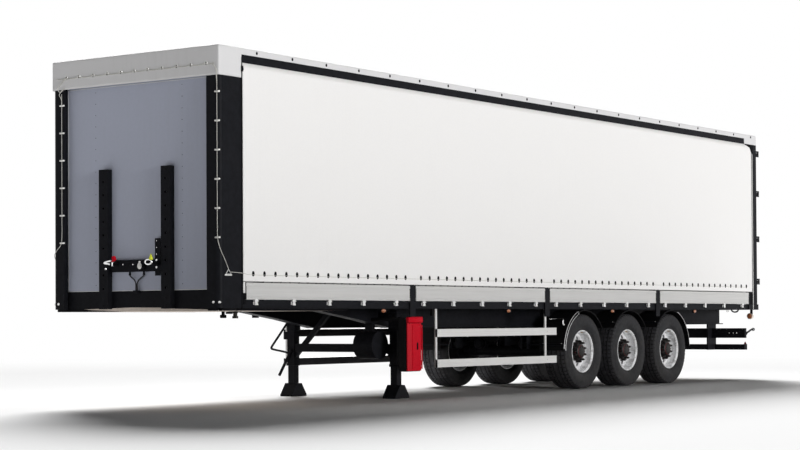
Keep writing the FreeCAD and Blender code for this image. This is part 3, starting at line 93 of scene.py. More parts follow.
class TrailerColours(bpy.types.PropertyGroup):
    """Base colours of the trailer's finishes, in linear light."""

    curtain: tint("Curtain", "Coated cloth of the side curtains", 0.83, 0.82, 0.81)
    roof_cloth: tint("Roof cloth", "Coated cloth of the roof sheet and its flaps",
                     0.68, 0.675, 0.68)
    chassis: tint("Chassis", "Black chassis paint", 0.0078, 0.0082, 0.0105)
    front_panel: tint("Front panel", "Blue-grey sheet of the front wall", 0.43, 0.455, 0.55)
    board: tint("Aluminium", "Anodised sections of the boards and side guards",
                0.56, 0.555, 0.545)
    fire_box: tint("Fire box", "Moulded red box", 0.52, 0.004, 0.016)
    rubber: tint("Tyre rubber", "Tyres and other black rubber", 0.020, 0.020, 0.022)
    wheel: tint("Wheel paint", "Silver paint of the wheels", 0.90, 0.90, 0.91)
    amber: tint("Amber lens", "Side marker lamps", 0.34, 0.105, 0.03)
    red_lens: tint("Red lens", "Tail lamps", 0.30, 0.006, 0.008)


class TrailerSizes(bpy.types.PropertyGroup):
    """Sizes of the pieces that finish the trailer."""

    cloth: length("Cloth", "Thickness of the coated cloth", 0.0016, 0.0005, 0.005)
    hem_height: length("Hem eyelet height", "Height of the eyelets above the ground",
                       1.508, 1.44, 1.6)
    rope: length("Flap rope", "Radius of the rope along the front flap", 0.005, 0.002, 0.01)
    tread_depth: length("Tread depth", "Depth of the tyres' grooves", 0.014, 0.002, 0.016)
    tread_blocks: bpy.props.IntProperty(
        name="Shoulder blocks", description="Blocks round each shoulder of a tyre",
        default=56, min=24, max=90)
    roof_sag: length("Roof sag", "How far the roof cloth sags between two bows", 0.006, 0, 0.03)


def sizes():
    return bpy.context.scene.trailer_sizes


def colours():
    return bpy.context.scene.trailer_colours


# ---------------------------------------------------------------- surfaces
# A part is (points, faces): an array of N points and a list of face arrays, one for each
# number of corners.

def grid_faces(rows, columns, wrap_rows=False, wrap_columns=False):
    """The four-cornered faces between neighbouring points of a grid, numbered row by row."""
    row, column = np.meshgrid(np.arange(rows if wrap_rows else rows - 1),
                              np.arange(columns if wrap_columns else columns - 1), indexing="ij")
    next_row, next_column = (row + 1) % rows, (column + 1) % columns
    return np.stack([row * columns + column, next_row * columns + column,
                     next_row * columns + next_column, row * columns + next_column],
                    -1).reshape(-1, 4)


def surface(points, wrap_rows=False, wrap_columns=False, ends=False):
    """A grid of points (rows, columns, 3) as a part; with ends, its first and last row are each
    closed by one face."""
    rows, columns = points.shape[:2]
    faces = [grid_faces(rows, columns, wrap_rows, wrap_columns)]
    if ends:
        last = (rows - 1) * columns
        faces.append(np.stack([np.arange(columns)[::-1], last + np.arange(columns)]))
    return points.reshape(-1, 3), faces


def joined(parts):
    """Several parts as one: each part's faces count on from the points before it."""
    points, faces, count = [], [], 0
    for part_points, part_faces in parts:
        points.append(part_points)
        faces += [array + count for array in part_faces]
        count += len(part_points)
    return np.concatenate(points), faces


def repeated(many, faces):
    """Copies of a part as one part, from an array (copies, points, 3)."""
    step = np.arange(len(many))[:, None, None] * many.shape[1]
    return many.reshape(-1, 3), [(array[None] + step).reshape(-1, array.shape[1])
                                 for array in faces]


def copies(part, places):
    """A part repeated at each of the places, an array of M offsets."""
    places = np.asarray(places, float).reshape(-1, 3)
    return repeated(part[0][None] + places[:, None], part[1])


def moved(part, offset):
    return part[0] + np.asarray(offset, float), part[1]


def mirrored(part, sign):
    """The part with its Y turned over where sign is -1."""
    return part[0] * np.array([1, sign, 1]), part[1]


def both_sides(*parts):
    """The parts and their mirror images as one part."""
    part = joined(parts)
    return joined([part, mirrored(part, -1)])


def spun(part, axis, count, centre=(0, 0, 0), start=0.0):
    """A part repeated count times round an axis through the centre: copy k is turned by k whole
    turns over count."""
    angles = start + np.arange(count) * FULL_TURN / count
    first, second = (axis + 1) % 3, (axis + 2) % 3
    away = part[0] - np.asarray(centre, float)
    many = np.repeat(away[None], count, 0)
    cosine, sine = np.cos(angles)[:, None], np.sin(angles)[:, None]
    many[:, :, first] = away[:, first] * cosine - away[:, second] * sine
    many[:, :, second] = away[:, first] * sine + away[:, second] * cosine
    return repeated(many + np.asarray(centre, float), part[1])


def turned(profile, axis, centre=(0, 0, 0), steps=24, closed=False):
    """A profile of (radius, height) pairs carried round an axis: at the angle a the point lies
    height along the axis and radius times (cos a, sin a) across it."""
    profile = np.asarray(profile, float)
    angles = np.arange(steps) * FULL_TURN / steps
    points = np.zeros((steps, len(profile), 3))
    points[:, :, axis] = profile[:, 1]
    points[:, :, (axis + 1) % 3] = profile[:, 0] * np.cos(angles)[:, None]
    points[:, :, (axis + 2) % 3] = profile[:, 0] * np.sin(angles)[:, None]
    return surface(points + np.asarray(centre, float), wrap_rows=True, wrap_columns=closed)


def block(low, high, radius=0.003, steps=2, axis=0):
    """A box with rounded edges: a rectangle's outline with round corners is carried along one
    axis, and over the radius at each end it shrinks by the quarter circle's formula."""
    low, high = np.minimum(low, high).astype(float), np.maximum(low, high).astype(float)
    radius = min(radius, 0.49 * float((high - low).min()))
    first, second = (axis + 1) % 3, (axis + 2) % 3
    bend = np.linspace(0, math.pi / 2, steps + 1)
    along = np.concatenate([low[axis] + radius * (1 - np.cos(bend)),
                            high[axis] - radius * (1 - np.cos(bend[::-1]))])
    size = np.concatenate([radius * np.sin(bend), radius * np.sin(bend[::-1])])
    angle = np.concatenate([bend + quarter * math.pi / 2 for quarter in range(4)])
    corner = np.repeat(np.array([(1, 1), (-1, 1), (-1, -1), (1, -1)]), steps + 1, 0)
    middle, half = (low + high) / 2, (high - low) / 2 - radius
    points = np.zeros((len(along), len(angle), 3))
    points[:, :, axis] = along[:, None]
    for place, column, wave in ((first, 0, np.cos(angle)), (second, 1, np.sin(angle))):
        points[:, :, place] = (middle[place] + corner[:, column] * half[place]
                               + size[:, None] * wave)
    return surface(points, wrap_columns=True, ends=True)


def section_along(outline, axis, start, end):
    """A closed outline, pairs across the axis, carried straight from start to end."""
    outline = np.asarray(outline, float)
    points = np.zeros((2, len(outline), 3))
    points[:, :, axis] = np.array([start, end])[:, None]
    points[:, :, (axis + 1) % 3] = outline[:, 0]
    points[:, :, (axis + 2) % 3] = outline[:, 1]
    return surface(points, wrap_columns=True, ends=True)


def tube(path, radius, sides=8, reference=(0.31, 0.52, 0.79), closed=False):
    """A circle carried along a path. Its plane stands square to the path, and the reference
    direction's cross product with the path gives the circle its first direction."""
    path = np.asarray(path, float)
    if closed:
        tangent = np.roll(path, -1, 0) - np.roll(path, 1, 0)
    else:
        tangent = np.gradient(path, axis=0)
    tangent /= np.linalg.norm(tangent, axis=1)[:, None]
    first = np.cross(tangent, np.asarray(reference, float))
    first /= np.linalg.norm(first, axis=1)[:, None]
    second = np.cross(tangent, first)
    angle = np.arange(sides) * FULL_TURN / sides
    radius = np.broadcast_to(radius, (len(path),))[:, None, None]
    points = path[:, None] + radius * (first[:, None] * np.cos(angle)[None, :, None]
                                       + second[:, None] * np.sin(angle)[None, :, None])
    return surface(points, wrap_rows=closed, wrap_columns=True, ends=not closed)


def smooth_path(points, per_run=8):
    """A Catmull-Rom curve through the points: each run is the cubic that leaves a point along the
    line between its two neighbours."""
    points = np.asarray(points, float)
    padded = np.concatenate([2 * points[:1] - points[1:2], points,
                             2 * points[-1:] - points[-2:-1]])
    t = np.linspace(0, 1, per_run, endpoint=False)[:, None]
    runs = [0.5 * (2 * start + (end - before) * t
                   + (2 * before - 5 * start + 4 * end - after) * t ** 2
                   + (3 * start - before - 3 * end + after) * t ** 3)
            for before, start, end, after in zip(padded, padded[1:], padded[2:], padded[3:])]
    return np.concatenate(runs + [points[-1:]])


def in_plane(x, places):
    """Pairs (y, z) as points that all stand at one x."""
    return [(x, y, z) for y, z in places]


def bolt(radius=0.010, height=0.007):
    """A hexagon head on a round washer, standing along +X from the origin."""
    ring = turned([(0, 0), (radius * 1.5, 0), (radius * 1.5, 0.0022), (radius * 0.9, 0.003)], 0,
                  steps=14)
    head = turned([(radius, 0.0022), (radius, height - 0.0015), (radius * 0.86, height),
                   (0, height)], 0, steps=6)
    return joined([ring, head])


def dome(radius=0.008, height=0.004):
    """A round rivet head along +X: radius times the cosine, height times the sine."""
    bend = np.linspace(0, math.pi / 2, 4)
    return turned(np.stack([radius * np.cos(bend), height * np.sin(bend)], 1), 0, steps=12)


def facing(part, axis, sign=1):
    """A part made along +X, turned to stand along another axis."""
    points, faces = part
    points = points[:, {0: (0, 1, 2), 1: (1, 0, 2), 2: (2, 1, 0)}[axis]].copy()
    points[:, axis] *= sign
    return points, faces


def make_piece(name, groups, body="trailer", smooth=38, merge=2e-6,
               replaces=()):
    """One mesh object from (part, finish) pairs, with doubles merged and faces outwards."""
    points, faces, indices, count = [], [], [], 0
    mesh = bpy.data.meshes.new(name)
    for number, ((part_points, part_faces), material) in enumerate(groups):
        mesh.materials.append(finish(material))
        points.append(part_points)
        for array in part_faces:
            faces += (array + count).tolist()
            indices.append(np.full(len(array), number))
        count += len(part_points)
    mesh.from_pydata(np.concatenate(points), [], faces)
    mesh.polygons.foreach_set("material_index", np.concatenate(indices))
    tidy = bmesh.new()
    tidy.from_mesh(mesh)
    bmesh.ops.remove_doubles(tidy, verts=tidy.verts, dist=merge)
    bmesh.ops.recalc_face_normals(tidy, faces=tidy.faces)
    tidy.to_mesh(mesh)
    tidy.free()
    mesh.shade_smooth()
    mesh.set_sharp_from_angle(angle=math.radians(smooth))
    thing = bpy.data.objects.new(name, mesh)
    bpy.context.scene.collection.objects.link(thing)
    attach(thing, body)
    if replaces:
        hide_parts(*replaces)
    return thing


# ---------------------------------------------------------------- shader groups

class Bench:
    """Adds nodes to one tree; an input is a value or another node's socket."""

    def __init__(self, tree):
        self.tree = tree

    def add(self, kind, inputs=None, **settings):
        made = self.tree.nodes.new(kind if kind.startswith("Node") else "ShaderNode" + kind)
        for key, value in settings.items():
            setattr(made, key, value)
        for key, value in (inputs or {}).items():
            if isinstance(value, bpy.types.NodeSocket):
                self.tree.links.new(value, made.inputs[key])
            else:
                made.inputs[key].default_value = value
        return made

    def maths(self, operation, first, second=0.0, clamp=False):
        return self.add("Math", {0: first, 1: second}, operation=operation,
                        use_clamp=clamp).outputs[0]

    def plus(self, first, second, clamp=False):
        return self.maths("ADD", first, second, clamp)

    def times(self, first, second, clamp=False):
        return self.maths("MULTIPLY", first, second, clamp)

    def wave(self, value, rate):
        return self.maths("SINE", self.times(value, rate))

    def mix(self, factor, first, second, blend="MIX"):
        if isinstance(second, tuple):
            second = rgba(second)
        return self.add("Mix", {0: factor, 6: first, 7: second}, data_type="RGBA",
                        blend_type=blend).outputs[2]

    def ramp(self, value, low, high, to_low=0.0, to_high=1.0):
        return self.add("MapRange", {"Value": value, "From Min": low, "From Max": high,
                                     "To Min": to_low, "To Max": to_high}).outputs[0]

    def noise(self, vector, scale, detail=3.0, roughness=0.5):
        return self.add("TexNoise", {"Vector": vector, "Scale": scale, "Detail": detail,
                                     "Roughness": roughness}).outputs["Fac"]

    def place(self):
        return self.add("TexCoord").outputs["Object"]

    def along(self, axis):
        return self.part_of(self.place())[axis]

    def scaled(self, vector, scale):
        return self.add("VectorMath", {0: vector, 1: scale}, operation="MULTIPLY").outputs[0]

    def part_of(self, vector):
        return self.add("SeparateXYZ", {0: vector}).outputs

    def grey(self, value):
        return self.add("CombineColor", {0: value, 1: value, 2: value}).outputs[0]

    def group(self, tree, **inputs):
        return self.add("Group", inputs, node_tree=tree).outputs

    def output(self, kind, shader):
        self.tree.links.new(shader.outputs[0], self.add(kind).inputs[0])

    def seen(self):
        """1 for rays from the camera, in gloss or through glass, and 0 for the light itself."""
        path = self.add("LightPath").outputs
        return self.plus(path["Is Camera Ray"], self.plus(path["Is Glossy Ray"],
                                                          path["Is Transmission Ray"]), True)


def bench_of(owner):
    """A cleared node tree of a new material or world, on its bench."""
    owner.use_nodes = True
    owner.node_tree.nodes.clear()
    return Bench(owner.node_tree)


def shader_group(name, inputs, outputs, fill):
    """A node group with named sockets, built once. fill gets the bench and the input sockets and
    returns the output values by name."""
    if name in bpy.data.node_groups:
        return bpy.data.node_groups[name]
    tree = bpy.data.node_groups.new(name, "ShaderNodeTree")
    for label, kind, default in inputs:
        socket = tree.interface.new_socket(name=label, in_out="INPUT",
                                           socket_type="NodeSocket" + kind)
        socket.default_value = default
    for label, kind in outputs:
        tree.interface.new_socket(name=label, in_out="OUTPUT", socket_type="NodeSocket" + kind)
    bench = Bench(tree)
    start = bench.add("NodeGroupInput")
    end = bench.add("NodeGroupOutput")
    for label, value in fill(bench, start.outputs).items():
        tree.links.new(value, end.inputs[label])
    return tree


GREY = (0.5, 0.5, 0.5, 1.0)
BARE_STEEL = (0.22, 0.22, 0.23, 1.0)
COLOUR_AND_MASK = [("Colour", "Color"), ("Mask", "Float")]


def road_film_group():
    """Grey dust from the road: thickest low down, thinning out with height, broken up by noise."""
    def fill(bench, given):
        place = bench.place()
        height = bench.part_of(place)["Z"]
        low = bench.maths("SUBTRACT", 1.0, bench.maths("DIVIDE", height, given["Reach"]), True)
        cloud = bench.ramp(bench.noise(place, 2.3, 5.0, 0.62), 0.36, 0.66)
        speck = bench.ramp(bench.noise(place, 60.0, 3.0), 0.40, 0.72)
        broken = bench.plus(bench.times(cloud, 0.7), bench.times(speck, 0.3))
        thick = bench.plus(bench.times(low, 0.8), 0.2)
        mask = bench.times(bench.times(broken, thick), given["Amount"], True)
        return {"Colour": bench.mix(mask, given["Colour"], given["Film"]), "Mask": mask}
    return shader_group("Road film", [("Colour", "Color", GREY),
                                      ("Film", "Color", (0.16, 0.145, 0.125, 1.0)),
                                      ("Amount", "Float", 0.3), ("Reach", "Float", 1.4)],
                        COLOUR_AND_MASK, fill)


def worn_edge_group():
    """Paint rubbed off the edges: where the rounded normal turns away from the true one."""
    def fill(bench, given):
        soft = bench.add("Bevel", {"Radius": given["Width"]}, samples=4).outputs[0]
        true = bench.add("NewGeometry").outputs["Normal"]
        same = bench.add("VectorMath", {0: soft, 1: true}, operation="DOT_PRODUCT").outputs["Value"]
        edge = bench.ramp(same, 0.985, 0.90)
        chips = bench.ramp(bench.noise(bench.place(), 34.0, 4.0, 0.6), 0.42, 0.62)
        mask = bench.times(bench.times(edge, chips), given["Amount"], True)
        return {"Colour": bench.mix(mask, given["Colour"], given["Bare"]), "Mask": mask}
    return shader_group("Worn edge", [("Colour", "Color", GREY), ("Bare", "Color", BARE_STEEL),
                                      ("Width", "Float", 0.003), ("Amount", "Float", 0.4)],
                        COLOUR_AND_MASK, fill)


def grain_group():
    """Fine unevenness: noise, drawn out along an axis where the stretch is small."""
    def fill(bench, given):
        place = bench.scaled(bench.place(), given["Stretch"])
        fine = bench.noise(place, given["Scale"], 4.0, 0.55)
        broad = bench.noise(place, bench.times(given["Scale"], 0.06), 3.0)
        return {"Fine": fine, "Broad": broad}
    return shader_group("Grain", [("Scale", "Float", 300.0), ("Stretch", "Vector", (1, 1, 1))],
                        [("Fine", "Float"), ("Broad", "Float")], fill)


def weave_group():
    """Plain weave under a coating: sine waves along two directions multiplied, so raised crossings
    alternate as on a chess board."""
    def fill(bench, given):
        turn = bench.maths("DIVIDE", math.pi, given["Thread"])
        waves = [bench.wave(value, turn) for value in bench.part_of(bench.place())]
        pairs = [bench.times(waves[a], waves[b]) for a, b in ((0, 1), (1, 2), (2, 0))]
        return {"Height": bench.ramp(bench.plus(bench.plus(pairs[0], pairs[1]), pairs[2]),
                                     -1.0, 1.0)}
    return shader_group("Weave", [("Thread", "Float", 0.0012)], [("Height", "Float")], fill)


def streak_group():
    """Faint marks that rain has drawn downwards: noise stretched along Z, in patches."""
    def fill(bench, given):
        place = bench.place()
        drawn = bench.scaled(place, (1.0, 1.0, 0.07))
        lines = bench.ramp(bench.noise(drawn, given["Scale"], 3.0, 0.6), 0.48, 0.75)
        patch = bench.ramp(bench.noise(place, 0.7, 2.0), 0.42, 0.68)
        return {"Mask": bench.times(bench.times(lines, patch), given["Amount"])}
    return shader_group("Streaks", [("Scale", "Float", 18.0), ("Amount", "Float", 0.3)],
                        [("Mask", "Float")], fill)


# ---------------------------------------------------------------- finishes
# Each of these changes a finish's colour or its bump's height.

def planks(bench, shade, height):
    """Floor boards' figure drawn out along X, with a dark joint every 1.22 m."""
    across = bench.maths("FRACT", bench.maths("DIVIDE", bench.along("X"), 1.22))
    joint = bench.ramp(bench.maths("ABSOLUTE", bench.maths("SUBTRACT", across, 0.5)),
                       0.4965, 0.4985)
    figure = bench.noise(bench.scaled(bench.place(), (1.5, 26.0, 26.0)), 3.0, 5.0, 0.65)
    veined = bench.mix(bench.ramp(figure, 0.35, 0.65), shade, (0.10, 0.055, 0.028))
    return bench.mix(joint, veined, (0.02, 0.012, 0.008)), bench.maths("SUBTRACT", figure, joint)


def turning(bench, shade, height):
    """Turning marks round an upright pin."""
    return shade, bench.plus(height, bench.times(bench.wave(bench.along("Z"), 5200.0), 0.3))


def sheet_marks(bench, shade, height):
    """Rain marks on a painted sheet, and slow waves in it."""
    mask = bench.group(streak_group(), Scale=14.0, Amount=0.10)["Mask"]
    waves = bench.noise(bench.scaled(bench.place(), (1.0, 1.0, 0.35)), 3.0, 2.0)
    return bench.mix(mask, shade, (0.30, 0.30, 0.32)), bench.plus(bench.times(height, 0.25), waves)


def woven(streaks):
    """A fine weave that shows through the coating, with faint rain streaks on it."""
    def cloth(bench, shade, height):
        weave = bench.group(weave_group(), Thread=0.0011)["Height"]
        mask = bench.group(streak_group(), Scale=22.0, Amount=streaks)["Mask"]
        creases = bench.noise(bench.scaled(bench.place(), (1.0, 1.0, 0.6)), 4.5, 3.0, 0.55)
        total = bench.plus(bench.times(weave, 0.05), creases)
        return bench.mix(mask, shade, (0.42, 0.41, 0.385)), total
    return cloth


def spangle(bench, shade, height):
    """The crystals of a zinc coat."""
    cells = bench.add("TexVoronoi", {"Vector": bench.place(), "Scale": 160.0})
    return bench.mix(0.30, shade, cells.outputs["Color"], "SOFT_LIGHT"), height


def dark_hinges(bench, shade, height):
    """Black beyond the door's panel, where its hinge barrels stand."""
    away = bench.maths("ABSOLUTE", bench.along("Y"))
    return bench.mix(bench.ramp(away, 1.2442, 1.2448), shade, (0.008, 0.008, 0.010)), height


def fluted(bench, shade, height):
    """Fine upright flutes inside a lens, with painted shade: the colour darkens in bands along the
    flutes.
    """
    place = bench.part_of(bench.place())
    wave = bench.wave(bench.plus(place["X"], place["Y"]), 900.0)
    # lit: painted shade of the flutes, up to a quarter darker in their hollows
    lit = bench.grey(bench.ramp(wave, -1.0, 1.0, 0.75, 1.0))
    return bench.mix(1.0, shade, lit, "MULTIPLY"), bench.plus(bench.times(height, 0.1), wave)


def brake_dust(bench, shade, height):
    """Clouds of brown dust."""
    cloud = bench.ramp(bench.noise(bench.place(), 11.0, 4.0, 0.7), 0.50, 0.62, 0.0, 0.45)
    return bench.mix(cloud, shade, (0.10, 0.095, 0.09)), height


def flanks(bench, shade, height):
    """Dried dirt in patches on a tyre's side."""
    lines = bench.ramp(bench.noise(bench.place(), 9.0, 4.0, 0.6), 0.45, 0.7, 0.0, 0.35)
    return bench.mix(lines, shade, (0.040, 0.038, 0.036)), height


def strands(bench, shade, height):
    """A rope's strands: waves that run slantwise over it, with painted shade that darkens the
    colour between the strands.
    """
    place = bench.part_of(bench.place())
    wave = bench.wave(bench.plus(bench.plus(place["X"], place["Y"]), place["Z"]), 620.0)
    # darker where the wave is low: painted shade between the strands
    return bench.mix(bench.ramp(wave, -1.0, -0.2, 0.5, 0.0), shade, (0.12, 0.115, 0.10)), wave


CLOTH = dict(reach=2.2, grain=900.0, bump=0.14, depth=0.006, vary=0.010, specular=0.25)
LENS = dict(grain=200.0, bump=0.25, coat=0.6, coat_rough=0.05, extra=fluted)
BRUSHED = dict(metallic=0.15, reach=1.6, wear=0.15, grain=700.0, stretch=(0.03, 1, 1), bump=0.10)

# finish: base colour or the name of one of TrailerColours, least and most roughness, road film,
# and what else differs from coated()
FINISHES = {
    "black_steel": ("chassis", 0.36, 0.52, 0.05,
                    dict(wear=0.08, specular=0.035, bump=0.10, vary=0.2)),
    "plywood": ((0.20, 0.115, 0.06), 0.45, 0.7, 0.25, dict(grain=180.0, bump=0.25, extra=planks)),
    "primer_steel": ((0.66, 0.575, 0.50), 0.5, 0.7, 0.12, dict(wear=0.3, grain=240.0, bump=0.2)),
    "bare_steel": ((0.022, 0.020, 0.018), 0.22, 0.42, 0.05,
                   dict(metallic=0.4, specular=0.2, extra=turning)),
    "blue_grey_panel": ("front_panel", 0.46, 0.60, 0.06,
                        dict(reach=3.0, grain=420.0, bump=0.05, depth=0.004, vary=0.015,
                             specular=0.25, extra=sheet_marks)),
    "red_plastic": ("fire_box", 0.42, 0.56, 0.015,
                    dict(wear=0.10, bare=(0.66, 0.06, 0.07), grain=520.0, bump=0.12, vary=0.06,
                         specular=0.06)),
    "yellow_plastic": ((0.72, 0.78, 0.05), 0.40, 0.55, 0.03,
                       dict(grain=520.0, bump=0.12, vary=0.08, specular=0.2)),
    "black_rubber": ("rubber", 0.55, 0.75, 0.10,
                     dict(grain=420.0, bump=0.2, vary=0.25, specular=0.15)),
    "white_cloth": ("curtain", 0.48, 0.60, 0.025, dict(CLOTH, extra=woven(0.03))),
    "pale_cloth": ("roof_cloth", 0.48, 0.60, 0.03, dict(CLOTH, extra=woven(0.12))),
    "galvanised": ((0.70, 0.70, 0.69), 0.35, 0.55, 0.10,
                   dict(metallic=0.25, bump=0.12, extra=spangle)),
    "aluminium_panel": ((0.62, 0.625, 0.63), 0.30, 0.46, 0.14,
                        dict(metallic=0.35, reach=3.0, grain=600.0, stretch=(1, 1, 0.04),
                             bump=0.10, extra=dark_hinges)),
    "aluminium": ("board", 0.38, 0.54, 0.10,
                  dict(BRUSHED, bare=(0.8, 0.8, 0.8), vary=0.04, specular=0.4)),
    "pale_aluminium": ("board", 0.34, 0.50, 0.06,
                       dict(BRUSHED, bare=(0.85, 0.85, 0.85), vary=0.03, lighter=1.26)),
    "black_plastic": ((0.0075, 0.0075, 0.0085), 0.45, 0.62, 0.05,
                      dict(reach=1.3, grain=520.0, bump=0.2, vary=0.2, specular=0.05)),
    "amber_lens": ("amber", 0.12, 0.22, 0.08, dict(LENS, glow=0.10)),
    "red_lens": ("red_lens", 0.12, 0.22, 0.08, dict(LENS, glow=0.05)),
    "clear_lens": ((0.62, 0.64, 0.66), 0.12, 0.22, 0.08, dict(LENS, glow=0.05)),
    "silver_rim": ("wheel", 0.20, 0.34, 0.05,
                   dict(metallic=0.20, reach=1.3, wear=0.10, grain=700.0, bump=0.06, vary=0.05,
                        coat=0.2, extra=brake_dust)),
    "tyre": ("rubber", 0.58, 0.78, 0.10,
             dict(reach=0.75, grain=380.0, bump=0.22, vary=0.25, specular=0.15, extra=flanks)),
    # tread: the rubber 3.2 times lighter, partly wear and partly painted highlight on the tread
    # tops and the sidewall's ridge
    "tread": ("rubber", 0.62, 0.82, 0.22,
              dict(reach=1.2, grain=300.0, bump=0.3, vary=0.3, specular=0.10, lighter=3.2)),
    "hub_black": ((0.008, 0.007, 0.007), 0.34, 0.55, 0.05,
                  dict(wear=0.25, bare=(0.10, 0.02, 0.02), grain=300.0, bump=0.18, vary=0.25,
                       specular=0.2)),
    "hub_red": ((0.11, 0.012, 0.014), 0.4, 0.6, 0.08, dict(grain=300.0, bump=0.15, specular=0.2)),
    "zinc": ((0.60, 0.60, 0.585), 0.25, 0.42, 0.12, dict(metallic=0.8, grain=260.0, bump=0.10)),
    "polished": ((0.80, 0.80, 0.80), 0.12, 0.25, 0.08,
                 dict(metallic=1.0, grain=260.0, bump=0.05, vary=0.03)),
    "white_plastic": ((0.84, 0.83, 0.80), 0.35, 0.5, 0.06, dict(grain=500.0, bump=0.12)),
    "rope": ((0.66, 0.65, 0.61), 0.65, 0.85, 0.06,
             dict(grain=900.0, bump=0.5, depth=0.002, extra=strands)),
    "brass": ((0.42, 0.27, 0.10), 0.25, 0.4, 0.15, dict(metallic=0.9, grain=260.0, bump=0.1)),
    # dark_hole: near black, the own colour of poles, housings, latches and coupling bodies, and
    # painted shade in eyelets, in holes and at the wall's lower edge
    "dark_hole": ((0.004, 0.004, 0.005), 0.6, 0.8, 0.02,
                  dict(grain=300.0, bump=0.1, specular=0.05)),
}


def rgba(colour, factor=1.0):
    return tuple(min(1.0, c * factor) for c in tuple(colour)[:3]) + (1.0,)


def coated(name, colour, smoothest, roughest, film, metallic=0.0, specular=0.5, reach=1.4,
           wear=0.0, bare=BARE_STEEL, grain=320.0, stretch=(1, 1, 1), bump=0.12, depth=0.0006,
           vary=0.10, coat=0.0, coat_rough=0.12, glow=0.0, lighter=1.0, extra=None):
    """The common build of a finish: a base colour with slight variation, worn edges, road film,
    and grain that moves both roughness and bump. extra may change the colour or the height."""
    material = bpy.data.materials.new(name)
    bench = bench_of(material)
    noise = bench.group(grain_group(), Scale=grain, Stretch=stretch)
    height, broad = noise["Fine"], noise["Broad"]
    shade = bench.mix(bench.ramp(broad, 0.3, 0.7), rgba(colour, lighter * (1 - vary)),
                      rgba(colour, lighter * (1 + vary)))
    if extra:
        shade, height = extra(bench, shade, height)
    rough = bench.ramp(noise["Fine"], 0.3, 0.7, smoothest, roughest)
    if wear:
        shade = bench.group(worn_edge_group(), Colour=shade, Bare=rgba(bare), Width=0.003,
                            Amount=wear)["Colour"]
    if film:
        dusty = bench.group(road_film_group(), Colour=shade, Amount=film, Reach=reach)
        shade = dusty["Colour"]
        rough = bench.plus(rough, bench.times(dusty["Mask"], 0.5), True)
    normal = bench.add("Bump", {"Strength": bump, "Distance": depth, "Height": height})
    shader = bench.add("BsdfPrincipled", {
        "Base Color": shade, "Roughness": rough, "Metallic": metallic,
        "Specular IOR Level": specular, "Coat Weight": coat, "Coat Roughness": coat_rough,
        "Normal": normal.outputs[0]})
    if glow:
        bench.tree.links.new(shade, shader.inputs["Emission Color"])
        shader.inputs["Emission Strength"].default_value = glow
    bench.output("OutputMaterial", shader)
    return material


def finish(name):
    """The named finish, built the first time it is asked for."""
    if name not in bpy.data.materials or "trailer_finish" not in bpy.data.materials[name]:
        if name in bpy.data.materials:
            bpy.data.materials[name].name = name + "_plain"
        colour, smoothest, roughest, film, others = FINISHES[name]
        if isinstance(colour, str):
            colour = getattr(colours(), colour)
        made = coated(name, colour, smoothest, roughest, film, **others)
        made["trailer_finish"] = True
    return bpy.data.materials[name]


class TRAILER_OT_finishes(bpy.types.Operator):
    """Gives every CAD part the finish of its material slot"""

    bl_idname = "trailer.finishes"
    bl_label = "Finishes"

    def execute(self, context):
        slots = {row["node"]: row["material_slot"] for row in frame["record"]["subparts"]}
        for name, thing in frame["nodes"].items():
            thing.data.materials.clear()
            thing.data.materials.append(finish(slots[name]))
        return {"FINISHED"}


# ---------------------------------------------------------------- cloth

